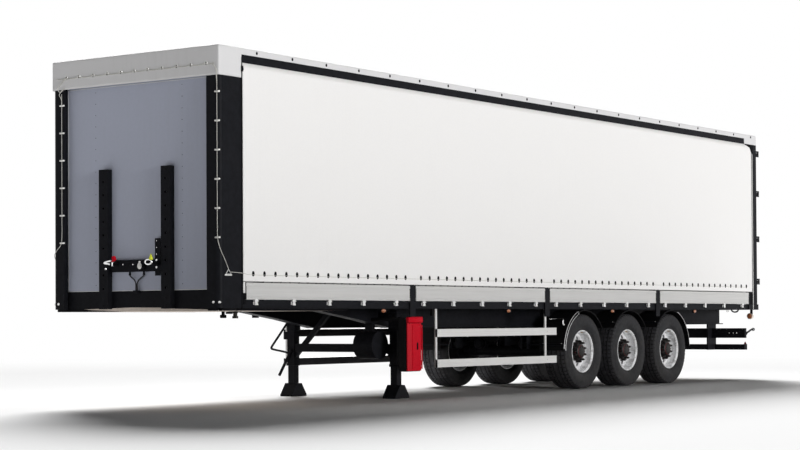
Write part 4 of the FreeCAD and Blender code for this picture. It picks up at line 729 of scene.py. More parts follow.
def roof_points():
    """The roof cloth as one surface of two parameters: s runs round the roof's edge and t runs
    from the lower hem of the skirt up over a rounded shoulder and on to the roof's middle line.
    The skirt's depth changes with s, and the top sags by a sine between the bows."""
    low, high = BOX["roof_sheet"]
    half, rear, front = high[1] - 0.0025, low[0] + 0.0025, high[0] - 0.0025
    top, round_off = high[2] - 0.0015, 0.016
    flap_hem, valance_hem, rear_hem = 3.667, 3.925, 3.842
    front_flap, rear_flap, edge = front - 0.380, rear + 0.460, 0.0012
    along = np.unique(np.concatenate([
        np.linspace(rear + round_off, front - round_off, 170),
        [front_flap - edge, front_flap + edge, rear_flap - edge, rear_flap + edge]]))
    across = np.linspace(half - round_off, -half + round_off, 61)
    bend = np.linspace(0, math.pi / 2, 6)[1:-1]

    def corner_run(x, y, start):
        angle = start - bend
        return np.stack([x + round_off * np.cos(angle), y + round_off * np.sin(angle)], 1)

    ring = np.concatenate([
        np.stack([along, np.full_like(along, half)], 1),
        corner_run(front - round_off, half - round_off, math.pi / 2),
        np.stack([np.full_like(across, front), across], 1),
        corner_run(front - round_off, -half + round_off, 0),
        np.stack([along[::-1], np.full_like(along, -half)], 1),
        corner_run(rear + round_off, -half + round_off, -math.pi / 2),
        np.stack([np.full_like(across, rear), across[::-1]], 1),
        corner_run(rear + round_off, half - round_off, -math.pi)])
    x, y = ring[:, 0], ring[:, 1]
    inner = np.stack([np.clip(x, rear + round_off, front - round_off),
                      np.clip(y, -half + round_off, half - round_off)], 1)
    outward = ((ring - inner) / round_off)[:, None]
    depth = np.full(len(ring), top - valance_hem)
    depth[x > front_flap] = top - flap_hem
    depth[x < rear_flap] = top - rear_hem + 0.002
    depth[x < rear + round_off] = top - rear_hem
    # the skirt: rows from the hem up to the shoulder
    t = np.linspace(0, 1, 12)
    fall = round_off + (depth[:, None] - round_off) * (1 - t[None])
    run = (x + y)[:, None]
    wave = (0.5 + 0.5 * np.sin(run * 17.0 + 1.3 * np.sin(run * 5.1))) * (1 - t) ** 1.5
    pucker = (0.5 + 0.5 * np.sin(run * 41.0)) * np.exp(-((t - 0.55) / 0.22) ** 2)
    out = (0.0024 * wave + 0.0012 * pucker)[..., None]
    skirt = np.concatenate([ring[:, None] + outward * out, (top - fall)[..., None]], -1)
    # the shoulder: a quarter circle from upright to flat
    turn = np.linspace(0, math.pi / 2, 5)[1:]
    inward = round_off * (1 - np.cos(turn))
    rise = np.broadcast_to(top - round_off + round_off * np.sin(turn), (len(ring), len(turn)))
    shoulder = np.concatenate([ring[:, None] - outward * inward[:, None], rise[..., None]], -1)
    # the top: straight lines to the middle line, with the sag added
    start = shoulder[:, -1]
    aim = np.stack([np.clip(x, rear + half, front - half), np.zeros(len(ring))], 1)
    w = np.linspace(0, 1, 16)[1:] ** 0.85
    plan = start[:, None, :2] + (aim[:, None] - start[:, None, :2]) * w[None, :, None]
    first_bow = BOX["roof_frame"][1][0] - 0.03
    phase = (first_bow - plan[..., 0]) / 1.5 * math.pi
    held = np.clip((half - np.abs(plan[..., 1])) / 0.25, 0, 1)
    ahead_of = np.clip((first_bow - plan[..., 0]) / 0.2, 0, 1)
    sag = sizes().roof_sag * np.sin(phase) ** 2 * held * ahead_of
    return np.concatenate([skirt, shoulder, np.concatenate([plan, (top - sag)[..., None]], -1)], 1)


def make_cloth(name, points, material, merge, node, wrap_rows=False):
    """A sheet of cloth in place of its CAD node, with the cloth's thickness."""
    sheet = make_piece(name, [(surface(points, wrap_rows=wrap_rows), material)],
                       smooth=60, merge=merge, replaces=(node,))
    thickness = sheet.modifiers.new("thickness", "SOLIDIFY")
    thickness.thickness = sizes().cloth
    thickness.offset = 0
    return sheet


class TRAILER_OT_roof_sheet(bpy.types.Operator):
    """Makes the roof cloth with its front flap, valances and corner flaps"""

    bl_idname = "trailer.roof_sheet"
    bl_label = "Roof sheet"

    def execute(self, context):
        sheet = make_cloth("roof_cloth", roof_points(), "pale_cloth", 1e-4, "roof_sheet", True)
        return {"FINISHED"}


def curtain_points(sign):
    """A curtain as y = its plane plus small waves: long soft ones over the whole cloth, and short
    ones at the hem's eyelets that die out upwards by an exponential."""
    low, high = BOX["side_curtain_left"]
    x = np.linspace(low[0] + 0.001, high[0] - 0.001, 300)
    z = np.concatenate([np.linspace(low[2] + 0.001, 1.62, 15),
                        np.linspace(1.66, high[2] - 0.001, 34)])
    x, z = np.meshgrid(x, z, indexing="ij")
    middle = np.sin(math.pi * (z - low[2]) / (high[2] - low[2]))
    soft = (np.sin(x * 2.1 + 0.6 * np.sin(z * 1.7)) + 0.6 * np.sin(x * 5.3 + z * 0.9)
            + 0.4 * np.sin(z * 3.1 + x * 0.7))
    hem = np.cos((high[0] - 0.170 - x) / 0.1933 * FULL_TURN)
    out = (0.0016 * middle * (soft + 2) / 4
           + 0.0011 * (hem + 1) / 2 * np.exp(-np.abs(z - sizes().hem_height) / 0.07))
    return np.stack([x, sign * (WALL + 0.0014 + out), z], -1)


class TRAILER_OT_curtains(bpy.types.Operator):
    """Makes the two side curtains"""

    bl_idname = "trailer.curtains"
    bl_label = "Side curtains"

    def execute(self, context):
        for side, sign in SIDES:
            curtain = make_cloth("curtain_" + side, curtain_points(sign), "white_cloth", 1e-5,
                                 "side_curtain_" + side)
        return {"FINISHED"}


# ---------------------------------------------------------------- eyelets and lacing

VALANCE = 1.2775    # the plane of the valance's eyelets
FLAP_ROW = 3.800    # the height of the front flap's eyelets


def eyelet(wide, tall, tube_radius):
    """An oval ring standing in the XZ plane and facing +Y, with a dark disc inside it as painted
    shade in the opening.
    """
    angle = np.arange(16) * FULL_TURN / 16
    path = np.stack([wide * np.cos(angle), np.zeros(16), tall * np.sin(angle)], 1)
    ring = tube(path, tube_radius, sides=6, reference=(0, 1, 0), closed=True)
    inside = section_along(np.stack([tall * 0.95 * np.sin(angle), wide * 0.95 * np.cos(angle)], 1),
                           1, -0.0004, 0.0012)
    return ring, inside


def hem_places():
    """Distances of the hem's eyelets behind the front: even steps in each bay, with a wider gap
    over each post."""
    return FRONT - np.concatenate([np.linspace(0.606 + BAY * bay if bay else 0.566,
                                               3.489 + BAY * bay, 16) for bay in range(4)])


def post_rope(sign):
    """The rope's path down a front post, round its corner to the ring and back to the hem."""
    x = FRONT - 0.004 if sign > 0 else FRONT + 0.006
    across = 1.2375 if sign > 0 else 1.115
    down = [(x, across, z) for z in np.arange(3.62, 1.92, -0.1)]
    if sign > 0:
        turn = [(FRONT - 0.006, 1.240, 1.885), (FRONT - 0.015, 1.257, 1.80)]
    else:
        turn = [(FRONT + 0.005, 1.130, 1.885), (FRONT + 0.001, 1.205, 1.81),
                (FRONT - 0.015, 1.257, 1.76)]
    turn += [(FRONT - 0.042, 1.2725, 1.72), (FRONT - 0.080, 1.2765, 1.66),
             (FRONT - 0.1415, VALANCE, 1.553)]
    return smooth_path(down + turn, 5) * np.array([1, sign, 1])


def behind_front(*places):
    """Triples (x before the front, y, z) as points of the trailer."""
    return np.array(places) + np.array([FRONT, 0, 0])


class TRAILER_OT_lacing(bpy.types.Operator):
    """Makes the eyelets, the lacing rope, its clips and its ring"""

    bl_idname = "trailer.lacing"
    bl_label = "Eyelets and lacing"

    def execute(self, context):
        height, places = sizes().hem_height, hem_places()
        hem = np.stack([places, np.full_like(places, WALL + 0.0040),
                        np.full_like(places, height)], 1)
        # each eyelet's inner disc is painted shade in its opening
        black = joined([copies(part, hem) for part in eyelet(0.0150, 0.0250, 0.0058)])
        # the hem rope dips a little between the eyelets and rises to each of them
        steps = np.linspace(0, 1, 6, endpoint=False)
        run = np.concatenate([np.linspace(a, b, 6, endpoint=False)
                              for a, b in zip(places[:-1], places[1:])] + [places[-1:]])
        swing = np.sin(math.pi * np.append(np.tile(steps, len(places) - 1), 0.0))
        hem_rope = np.stack([run, WALL + 0.0045 + 0.0022 * swing, height - 0.012 - 0.003 * swing],
                            1)
        lead = smooth_path([*behind_front((-0.1865, WALL + 0.0085, 1.519),
                                          (-0.30, WALL + 0.0075, 1.516),
                                          (-0.40, WALL + 0.0085, 1.509),
                                          (-0.47, WALL + 0.0080, 1.497)), hem_rope[0]], 5)
        hem_rope = tube(np.concatenate([lead[:-1], hem_rope]), 0.0032, 6)
        # the ring: a wire triangle held by a base plate
        wire = behind_front((-0.1415, WALL + 0.008, 1.549), (-0.1865, WALL + 0.008, 1.497),
                            (-0.0965, WALL + 0.008, 1.497))
        wire = np.concatenate([np.linspace(a, b, 6, endpoint=False)
                               for a, b in zip(wire, np.roll(wire, -1, 0))])
        triangle = tube(wire, 0.0045, 6, reference=(0, 1, 0), closed=True)
        plate = block((FRONT - 0.199, WALL, 1.478), (FRONT - 0.083, WALL + 0.010, 1.497), 0.003)
        for side, sign in SIDES:
            make_piece("hem_eyelets_" + side, [(mirrored(black, sign), "dark_hole")])
            make_piece("hem_rope_" + side, [(mirrored(hem_rope, sign), "rope")])
            middle = 1.237 if sign > 0 else 1.115
            face = FRONT - 0.0105 if sign > 0 else FRONT
            clip = block((face - 0.012, middle - 0.035, -0.010),
                         (face + 0.016, middle + 0.035, 0.010), 0.009, steps=3, axis=1)
            clips = copies(clip, [(0, 0, 3.485 - 0.318 * step) for step in range(6)])
            make_piece("post_rope_" + side,
                       [(tube(post_rope(sign), 0.0038, 6), "rope"),
                        (mirrored(clips, sign), "white_plastic"),
                        (mirrored(joined([triangle, plate]), sign), "zinc")])
        # valance and front flap eyelets, with dark discs in their openings as painted shade
        side_row = [(FRONT - 0.640 - 0.635 * number, VALANCE, 3.962) for number in range(21)]
        small = joined([copies(part, side_row) for part in eyelet(0.011, 0.015, 0.0035)])
        across = np.array([-1.038, -0.836, -0.612, -0.391, -0.181, 0.028, 0.226, 0.445, 0.661,
                           0.868, 1.094])
        front_row = [(FRONT + 0.0065, y, FLAP_ROW) for y in across]
        rings, holes = [copies((points[:, (1, 0, 2)].copy(), faces), front_row) for points, faces
                        in (facing(part, 0) for part in eyelet(0.017, 0.021, 0.0055))]
        make_piece("roof_eyelets", [(joined([both_sides(small), holes]), "dark_hole"),
                                    (rings, "zinc")])
        # the flap's rope hangs in shallow arcs between its eyelets
        steps = np.linspace(0, 1, 9)[:-1]
        ends = np.concatenate([[-1.20], across, [1.235]])
        y = (ends[:-1, None] + np.diff(ends)[:, None] * steps).reshape(-1)
        dip = np.tile(np.sin(math.pi * steps), len(ends) - 1)
        flap_rope = np.stack([FRONT + 0.010 + 0.003 * dip, y, FLAP_ROW - 0.014 * dip], 1)
        loops = smooth_path(behind_front(
            (0.012, -1.02, 3.80), (0.020, -1.10, 3.75), (0.019, -1.17, 3.69),
            (0.021, -1.12, 3.64), (0.022, -1.05, 3.69), (0.018, -1.14, 3.62),
            (0.010, -1.116, 3.56), (0.007, -1.115, 3.50)), 6)
        rounds = smooth_path(behind_front(
            (0.012, 1.16, 3.795), (0.018, 1.21, 3.77), (0.012, 1.245, 3.72),
            (0.004, 1.240, 3.66), (-0.003, 1.2375, 3.60)), 6)
        make_piece("flap_rope", [(joined([tube(path, sizes().rope, 6)
                                          for path in (flap_rope, loops, rounds)]), "rope")])
        return {"FINISHED"}


# ---------------------------------------------------------------- boards and guards

HINGE = (1.266, 1.207)    # the drop boards' hinge axis: across and height
HINGE_STEP = 0.670        # from one hinge to the next
BOARD_FOOT = 1.221


def board_section(low, high, thickness):
    """Section of a hollow aluminium board, as (depth from its outer plane, height): a proud band
    along the top, a flat middle and two grooves near the foot."""
    z = np.array([0, .003, .014, .0155, .0195, .021, .033, .0345, .0385, .040, .142, .1435,
                  .1475, .149, .183, .189])
    d = np.array([.003, 0, 0, .004, .004, 0, 0, .004, .004, .0012, .0012, .004, .004, 0, 0, .004])
    z = low + z * (high - low) / 0.189
    return np.concatenate([np.stack([WALL - d, z], 1),
                           [(WALL - thickness, high - 0.002), (WALL - thickness, low + 0.002)]])


def splayed_leaf(low, high):
    """A hinge's cover over the rail: a plate whose half width is 20 mm in the middle and grows by
    the square of the distance from it, to 31 mm at its top and foot."""
    t = np.linspace(-1, 1, 9)
    half = 0.020 + 0.011 * t ** 2
    z = (low + high) / 2 + (high - low) / 2 * t
    back, face = WALL - 0.003, WALL + 0.0055
    rows = [np.stack([x, np.full(9, y), z], 1) for x, y in
            ((-half, back), (-half, face - 0.002), (-half + 0.003, face), (half - 0.003, face),
             (half, face - 0.002), (half, back))]
    return surface(np.stack(rows, 1), wrap_columns=True, ends=True)


class TRAILER_OT_drop_boards(bpy.types.Operator):
    """Makes the ribbed drop boards with their moving hinge halves"""

    bl_idname = "trailer.drop_boards"
    bl_label = "Drop boards"

    def execute(self, context):
        knuckle = turned([(0.0045, -0.0138), (0.0088, -0.0138), (0.0090, -0.013),
                          (0.0090, 0.013), (0.0088, 0.0138), (0.0045, 0.0138)],
                         0, (0, *HINGE), 20, closed=True)
        rivets = copies(facing(dome(0.0050, 0.003), 1),
                        [(x, WALL + 0.0055, 1.175) for x in (-0.017, 0.017)])
        hinge = joined([splayed_leaf(1.160, 1.228), knuckle, rivets])
        for side, sign, number in [(*row, number) for row in SIDES for number in (1, 2, 3, 4)]:
            node = f"drop_board_{side}_{number}"
            low, high = BOX[node]
            panel = section_along(board_section(BOARD_FOOT, high[2], 0.025), 0, low[0], high[0])
            caps = [block((x, WALL - 0.0245, BOARD_FOOT + 0.001),
                          (x + 0.006, WALL - 0.0002, high[2] - 0.001), 0.002)
                    for x in (low[0] + 0.0005, high[0] - 0.0065)]
            hinges = copies(hinge, [(x, 0, 0) for x in np.arange(high[0] - 0.175, low[0] + 0.033,
                                                                 -HINGE_STEP)])
            make_piece("ribbed_" + node, [(mirrored(panel, sign), "aluminium"),
                                          (mirrored(joined(caps), sign), "black_plastic"),
                                          (mirrored(hinges, sign), "galvanised")],
                       f"board_{side}_{number}", smooth=30, replaces=(node,))
        return {"FINISHED"}


def guard_section(low, inner, outer):
    """Section of a guard rail, as (across, height): four flats parted by three grooves."""
    rib = np.array([0, .03, .22, .25, .27, .30, .47, .49, .51, .53, .70, .73, .75, .78, .97, 1.0])
    dip = np.array([.003, 0, 0, .003, .003, 0, 0, .003, .003, 0, 0, .003, .003, 0, 0, .003])
    return np.concatenate([np.stack([outer - dip, low + rib * 0.1], 1),
                           [(inner, low + 0.098), (inner, low + 0.002)]])


class TRAILER_OT_side_guards(bpy.types.Operator):
    """Makes the ribbed side guard rails, their posts, end caps and bolts, and a black sheet along
    each rail's inner face as painted shade
    """

    bl_idname = "trailer.side_guards"
    bl_label = "Side guards"

    def execute(self, context):
        low, high = BOX["side_guards"]
        inner, outer = high[1] - 0.025, high[1]
        posts = [high[0] - 0.042, low[0] + 0.235]
        rails, caps, legs, bolts = [], [], [], []
        for foot in (low[2], low[2] + 0.385):
            rails.append(section_along(guard_section(foot, inner, outer), 0,
                                       low[0] + 0.004, high[0] - 0.004))
            # a black sheet along the rail's inner face: painted shade on its inner side, not a cap
            caps.append(block((low[0] + 0.004, inner - 0.0015, foot + 0.003),
                              (high[0] - 0.004, inner + 0.0005, foot + 0.097), 0.0009))
            caps += [block((x - 0.005, inner - 0.0005, foot - 0.0005),
                           (x + 0.005, outer + 0.0005, foot + 0.1005), 0.003)
                     for x in (low[0] + 0.005, high[0] - 0.005)]
            bolts += [(x + 0.018, outer - 0.0005, foot + 0.05) for x in posts]
        for x in posts:
            legs.append(block((x, inner - 0.022, low[2]), (x + 0.036, inner - 0.001, high[2]),
                              0.003, axis=2))
            caps.append(block((x - 0.03, inner - 0.060, high[2] - 0.09),
                              (x + 0.07, inner - 0.024, high[2] - 0.001), 0.003))
        make_piece("guard_rails",
                   [(both_sides(*rails), "pale_aluminium"), (both_sides(*caps), "black_plastic"),
                    (both_sides(*legs), "pale_aluminium"),
                    (both_sides(copies(facing(dome(0.010, 0.005), 1), bolts)), "zinc")],
                   smooth=30, replaces=("side_guards",))
        return {"FINISHED"}


# ---------------------------------------------------------------- wheels

# Half of a tyre's section, from the middle outwards: across, radius, share of the tread depth
# that a groove takes off, share that a shoulder notch takes off.
TYRE_HALF = (
    (0.000, 0.5300, 0, 0.6), (0.016, 0.5299, 0, 0.6), (0.0330, 0.5298, 0, 0.6),
    (0.0345, 0.5298, 1, 0), (0.0455, 0.5296, 1, 0), (0.0470, 0.5295, 0, 0.6),
    (0.070, 0.5290, 0, 0.6), (0.0950, 0.5280, 0, 0.6), (0.0965, 0.5280, 1, 0),
    (0.1085, 0.5274, 1, 0), (0.1100, 0.5273, 0, 0), (0.1190, 0.5268, 0, 0),
    (0.1205, 0.5267, 0, 1), (0.140, 0.5256, 0, 1), (0.1560, 0.5240, 0, 1),
    (0.1650, 0.5200, 0, 1), (0.1715, 0.5130, 0, 0.9), (0.1745, 0.5040, 0, 0.55),
    (0.1765, 0.4930, 0, 0.2), (0.1790, 0.4860, 0, 0), (0.1805, 0.4850, 0, 0),
    (0.1835, 0.4720, 0, 0), (0.1885, 0.4500, 0, 0), (0.1920, 0.4250, 0, 0),
    (0.1925, 0.4050, 0, 0), (0.1910, 0.3850, 0, 0), (0.1870, 0.3620, 0, 0),
    (0.1815, 0.3450, 0, 0), (0.1780, 0.3400, 0, 0), (0.1760, 0.3400, 0, 0),
    (0.1735, 0.3340, 0, 0), (0.1690, 0.3310, 0, 0), (0.1650, 0.3190, 0, 0),
    (0.1600, 0.3080, 0, 0), (0.1500, 0.3030, 0, 0), (0.1450, 0.2890, 0, 0))


def tyre_points(middle, across):
    """A tyre as one surface closed both ways. The section gives the radius over the width; each
    tread groove lowers it, the grooves waver with the sine of the angle, and the shoulders are
    notched once a block."""
    blocks = sizes().tread_blocks
    half = np.array(TYRE_HALF)
    wide, radius, groove, notched = np.concatenate([half, half[:0:-1] * (-1, 1, 1, 1)]).T
    share = np.array([0, 0.03, 0.25, 0.28, 0.64])
    notch = np.tile([0, 1, 1, 0, 0.0], blocks)[:, None]
    turn = (np.arange(blocks)[:, None] + share).reshape(-1, 1) * FULL_TURN / blocks
    wide = wide + 0.0022 * np.sin(turn * blocks / 2) * (
        (np.abs(wide) < 0.115) & (np.abs(wide) > 0.02))
    radius = radius - sizes().tread_depth * np.maximum(groove, notch * notched * 0.85)
    return np.stack([middle + radius * np.cos(turn), across + wide,
                     AXLE_HEIGHT + radius * np.sin(turn)], -1)


class TRAILER_OT_tyres(bpy.types.Operator):
    """Makes the six treaded tyres"""

    bl_idname = "trailer.tyres"
    bl_label = "Tyres"

    def execute(self, context):
        for side, sign, number in WHEELS:
            node = f"tyre_{side}_{number}"
            axle, across = AXLES[number - 1], middle_of(node, 1)
            valve = tube([(axle, across + sign * 0.125, AXLE_HEIGHT + 0.272),
                          (axle, across + sign * 0.165, AXLE_HEIGHT + 0.262)], 0.005, 8)
            ring, (faces,) = surface(tyre_points(axle, across), wrap_rows=True, wrap_columns=True)
            reach = np.hypot(ring[:, 0] - axle, ring[:, 2] - AXLE_HEIGHT)[faces]
            # worn: the tread tops and a thin ring on the sidewall's ridge, in the lighter tread
            # finish; partly wear, partly painted highlight
            worn = (reach.min(1) > 0.5215) | ((reach.max(1) < 0.4861) & (reach.min(1) > 0.4848))
            make_piece("treaded_" + node, [((ring, [faces[~worn]]), "tyre"),
                                           ((ring, [faces[worn]]), "tread"), (valve, "brass")],
                       f"wheel_{side}_{number}", smooth=35, replaces=(node,))
        return {"FINISHED"}


class TRAILER_OT_hubs(bpy.types.Operator):
    """Makes the hub covers, studs and nuts of the wheels"""

    bl_idname = "trailer.hubs"
    bl_label = "Hubs and nuts"

    def execute(self, context):
        cover = turned([(0, .1305), (.036, .1300), (.050, .1285), (.056, .1262), (.072, .1252),
                        (.0830, .1205), (.0965, .1150), (.1050, .1080), (.1065, .0560),
                        (.1240, .0520), (.1240, .0290), (.0900, .0290), (0, .1000)], 1, steps=40)
        ribs = spun(block((0.100, 0.056, -0.007), (0.124, 0.098, 0.007), 0.002), 1, 10)
        bolts = spun(moved(facing(bolt(0.0065, 0.007), 1), (0.064, 0.1250, 0)), 1, 6)
        fins = spun(block((0.040, 0.124, -0.005), (0.094, 0.1285, 0.005), 0.002), 1, 10)
        nut = joined([facing(turned([(0, -.020), (.0240, -.020), (.0240, -.012), (.0180, -.008),
                                     (.0180, .052), (.0150, .055), (.0110, .055)], 0, steps=6), 1),
                      facing(turned([(.0110, .052), (.0110, .068), (.009, .071), (0, .071)],
                                    0, steps=10), 1)])
        nuts = spun(moved(nut, (0.142, 0.0505, 0)), 1, 10, start=math.pi / 10)
        ring = joined([turned([(.0845, .1225), (.0905, .1200), (.0905, .1160), (.0845, .1160)], 1,
                              steps=32, closed=True),
                       spun(block((0.108, 0.060, 0.010), (0.116, 0.092, 0.026), 0.002), 1, 5,
                            start=0.2)])
        for side, sign, number in WHEELS:
            place = (AXLES[number - 1], middle_of(f"tyre_{side}_{number}", 1), AXLE_HEIGHT)
            make_piece(f"hub_{side}_{number}",
                       [(moved(mirrored(moved(part, (0, 0.020, 0)), sign), place), material)
                        for part, material in ((joined([cover, ribs, bolts, fins]), "hub_black"),
                                               (nuts, "hub_black"), (ring, "hub_red"))],
                       body=f"wheel_{side}_{number}", smooth=40)
        return {"FINISHED"}


# ---------------------------------------------------------------- front

def ring_part(half_wide, half_tall, radius, centre):
    """An oval wire ring that faces +X, round its centre."""
    angle = np.arange(20) * FULL_TURN / 20
    path = np.stack([np.zeros(20), half_wide * np.cos(angle), half_tall * np.sin(angle)], 1)
    return tube(path + np.asarray(centre, float), radius, 8, reference=(1, 0, 0), closed=True)


def slanted(part, axis, angle, centre):
    """The part turned by an angle round an axis through the centre."""
    return spun(part, axis, 1, centre, angle)


class TRAILER_OT_front_trim(bpy.types.Operator):
    """Makes the front's bolts, seams, curtain poles and the block before the king pin"""

    bl_idname = "trailer.front_trim"
    bl_label = "Front trim"

    def execute(self, context):
        corner_bolts = both_sides(
            moved(dome(0.017, 0.010), (FRONT - 0.0005, 1.180, 1.190)),
            moved(slanted(dome(0.017, 0.010), 2, 0.82, (0, 0, 0)), (FRONT - 0.0225, 1.2510, 1.188)))
        post_rivets = copies(dome(0.008, 0.004), [(FRONT, 1.180, z) for z in (1.290, 1.330)])
        # the wall's frame: a pale bead round the panel and rivets along the sill
        bead = [block((PANEL - 0.002, -1.205, z), (PANEL + 0.004, 1.205, z + 0.006), 0.002, axis=1)
                for z in (1.3305, 3.662)]
        bead += [block((PANEL - 0.002, sign * 1.0925, 1.337), (PANEL + 0.004, sign * 1.0985, 3.66),
                       0.002, axis=2) for sign in (1, -1)]
        rivets = copies(dome(0.006, 0.003), in_plane(PANEL, [
            (y, 1.318) for y in np.arange(-1.15, 1.16, 0.1)]))
        seams = copies(dome(0.005, 0.0025), in_plane(PANEL, [
            (sign * 0.66, z) for sign in (-1, 1) for z in np.arange(1.40, 3.62, 0.13)]))
        channel_bolts = copies(bolt(0.011, 0.008), in_plane(CHANNEL, [
            (sign * 0.474, z) for sign in (-1, 1) for z in (1.16, 1.24, 2.675)]))
        make_piece("front_bolts",
                   [(corner_bolts, "zinc"),
                    (joined([both_sides(post_rivets), rivets, seams, channel_bolts]),
                     "black_steel"),
                    (joined(bead), "pale_aluminium")])
        # the curtain's front pole with its latch, and the bright end strip of the first board
        pole = turned([(0, 1.10), (0.011, 1.10), (0.011, 3.90), (0, 3.90)], 2,
                      (FRONT - 0.380, 1.2665, 0), steps=12)
        latch = [block((FRONT - 0.398, 1.268, 3.735), (FRONT - 0.366, 1.286, 3.800), 0.004),
                 block((FRONT - 0.410, 1.268, 3.752), (FRONT - 0.396, 1.280, 3.782), 0.003),
                 block((FRONT - 0.452, 1.246, 1.170), (FRONT - 0.402, 1.272, 1.292), 0.004),
                 block((FRONT - 0.446, 1.262, 1.225), (FRONT - 0.412, 1.281, 1.262), 0.004)]
        strip = block((FRONT - 0.436, 1.252, 1.294), (FRONT - 0.404, 1.2685, 1.416), 0.003)
        make_piece("curtain_poles", [(both_sides(pole, *latch), "dark_hole"),
                                     (both_sides(strip), "pale_aluminium")])
        # the block in front of the king pin, a neck and a wide foot, and the wall's lower edge,
        # where two dark sheets beside the pale lip are painted shade
        x = FRONT - 1.540
        dark = [block((x - 0.014, -0.016, 1.050), (x + 0.014, 0.016, 1.101), 0.004, axis=2),
                block((x - 0.030, -0.030, 1.020), (x + 0.030, 0.030, 1.060), 0.009, axis=2)]
        # two dark sheets on the wall's face beside the pale lip: painted shade under the wall's
        # lower edge
        dark += [section_along(outline, 0, PANEL - 0.003, PANEL + 0.004) for outline in (
            [(-1.20, 1.0975), (-0.20, 1.0975), (-0.72, 1.117), (-0.82, 1.1262), (-1.20, 1.1262)],
            [(0.50, 1.1262), (0.95, 1.116), (1.20, 1.106), (1.20, 1.1262)])]
        lip = section_along([(-0.90, 1.1255), (-0.20, 1.0985), (0.95, 1.0985), (0.95, 1.116),
                             (0.55, 1.1265), (0.35, 1.138), (-0.10, 1.143), (-0.45, 1.136)], 0,
                            PANEL - 0.003, PANEL + 0.0035)
        dark += [block((BOX["coupling_plate"][0][0] + 0.002, sign * 1.187, 1.0985),
                       (PANEL + 0.004, sign * 1.1940, 1.1330), 0.002) for sign in (-1, 1)]
        for sign in (-1, 1):
            dark += [block((FRONT - 0.060, sign * 1.095, 1.098),
                           (FRONT - 0.004, sign * 1.200, 1.1265), 0.004),
                     block((FRONT - 0.300, sign * 1.215, 1.104),
                           (FRONT - 0.070, sign * 1.262, 1.1265), 0.004)]
        plate_ring = turned([(0.036, 1.0985), (0.085, 1.0985), (0.085, 1.1005), (0.036, 1.1005)], 2,
                            (PIN, 0, 0), steps=36, closed=True)
        plate_bolts = spun(moved(facing(bolt(0.009), 2, -1), (0.068, 0, 1.0986)), 2, 8)
        make_piece("pin_block",
                   [(joined(dark), "dark_hole"), (lip, "primer_steel"),
                    (plate_ring, "bare_steel"),
                    (moved(plate_bolts, (PIN, 0, 0)), "bare_steel")])
        return {"FINISHED"}


def head_body(face, neck, collar, step, tip, centre):
    """A coupling's turned body: a flange on the plate, a neck, and a wider head up to the face."""
    return turned([(0, PLATE), (.030, PLATE), (.030, PLATE + .012), (neck, PLATE + .016),
                   (neck, face - .034), (collar, face - .030), (collar, face - step),
                   (tip[0], face - tip[1]), (0, face - tip[1])], 0, centre)


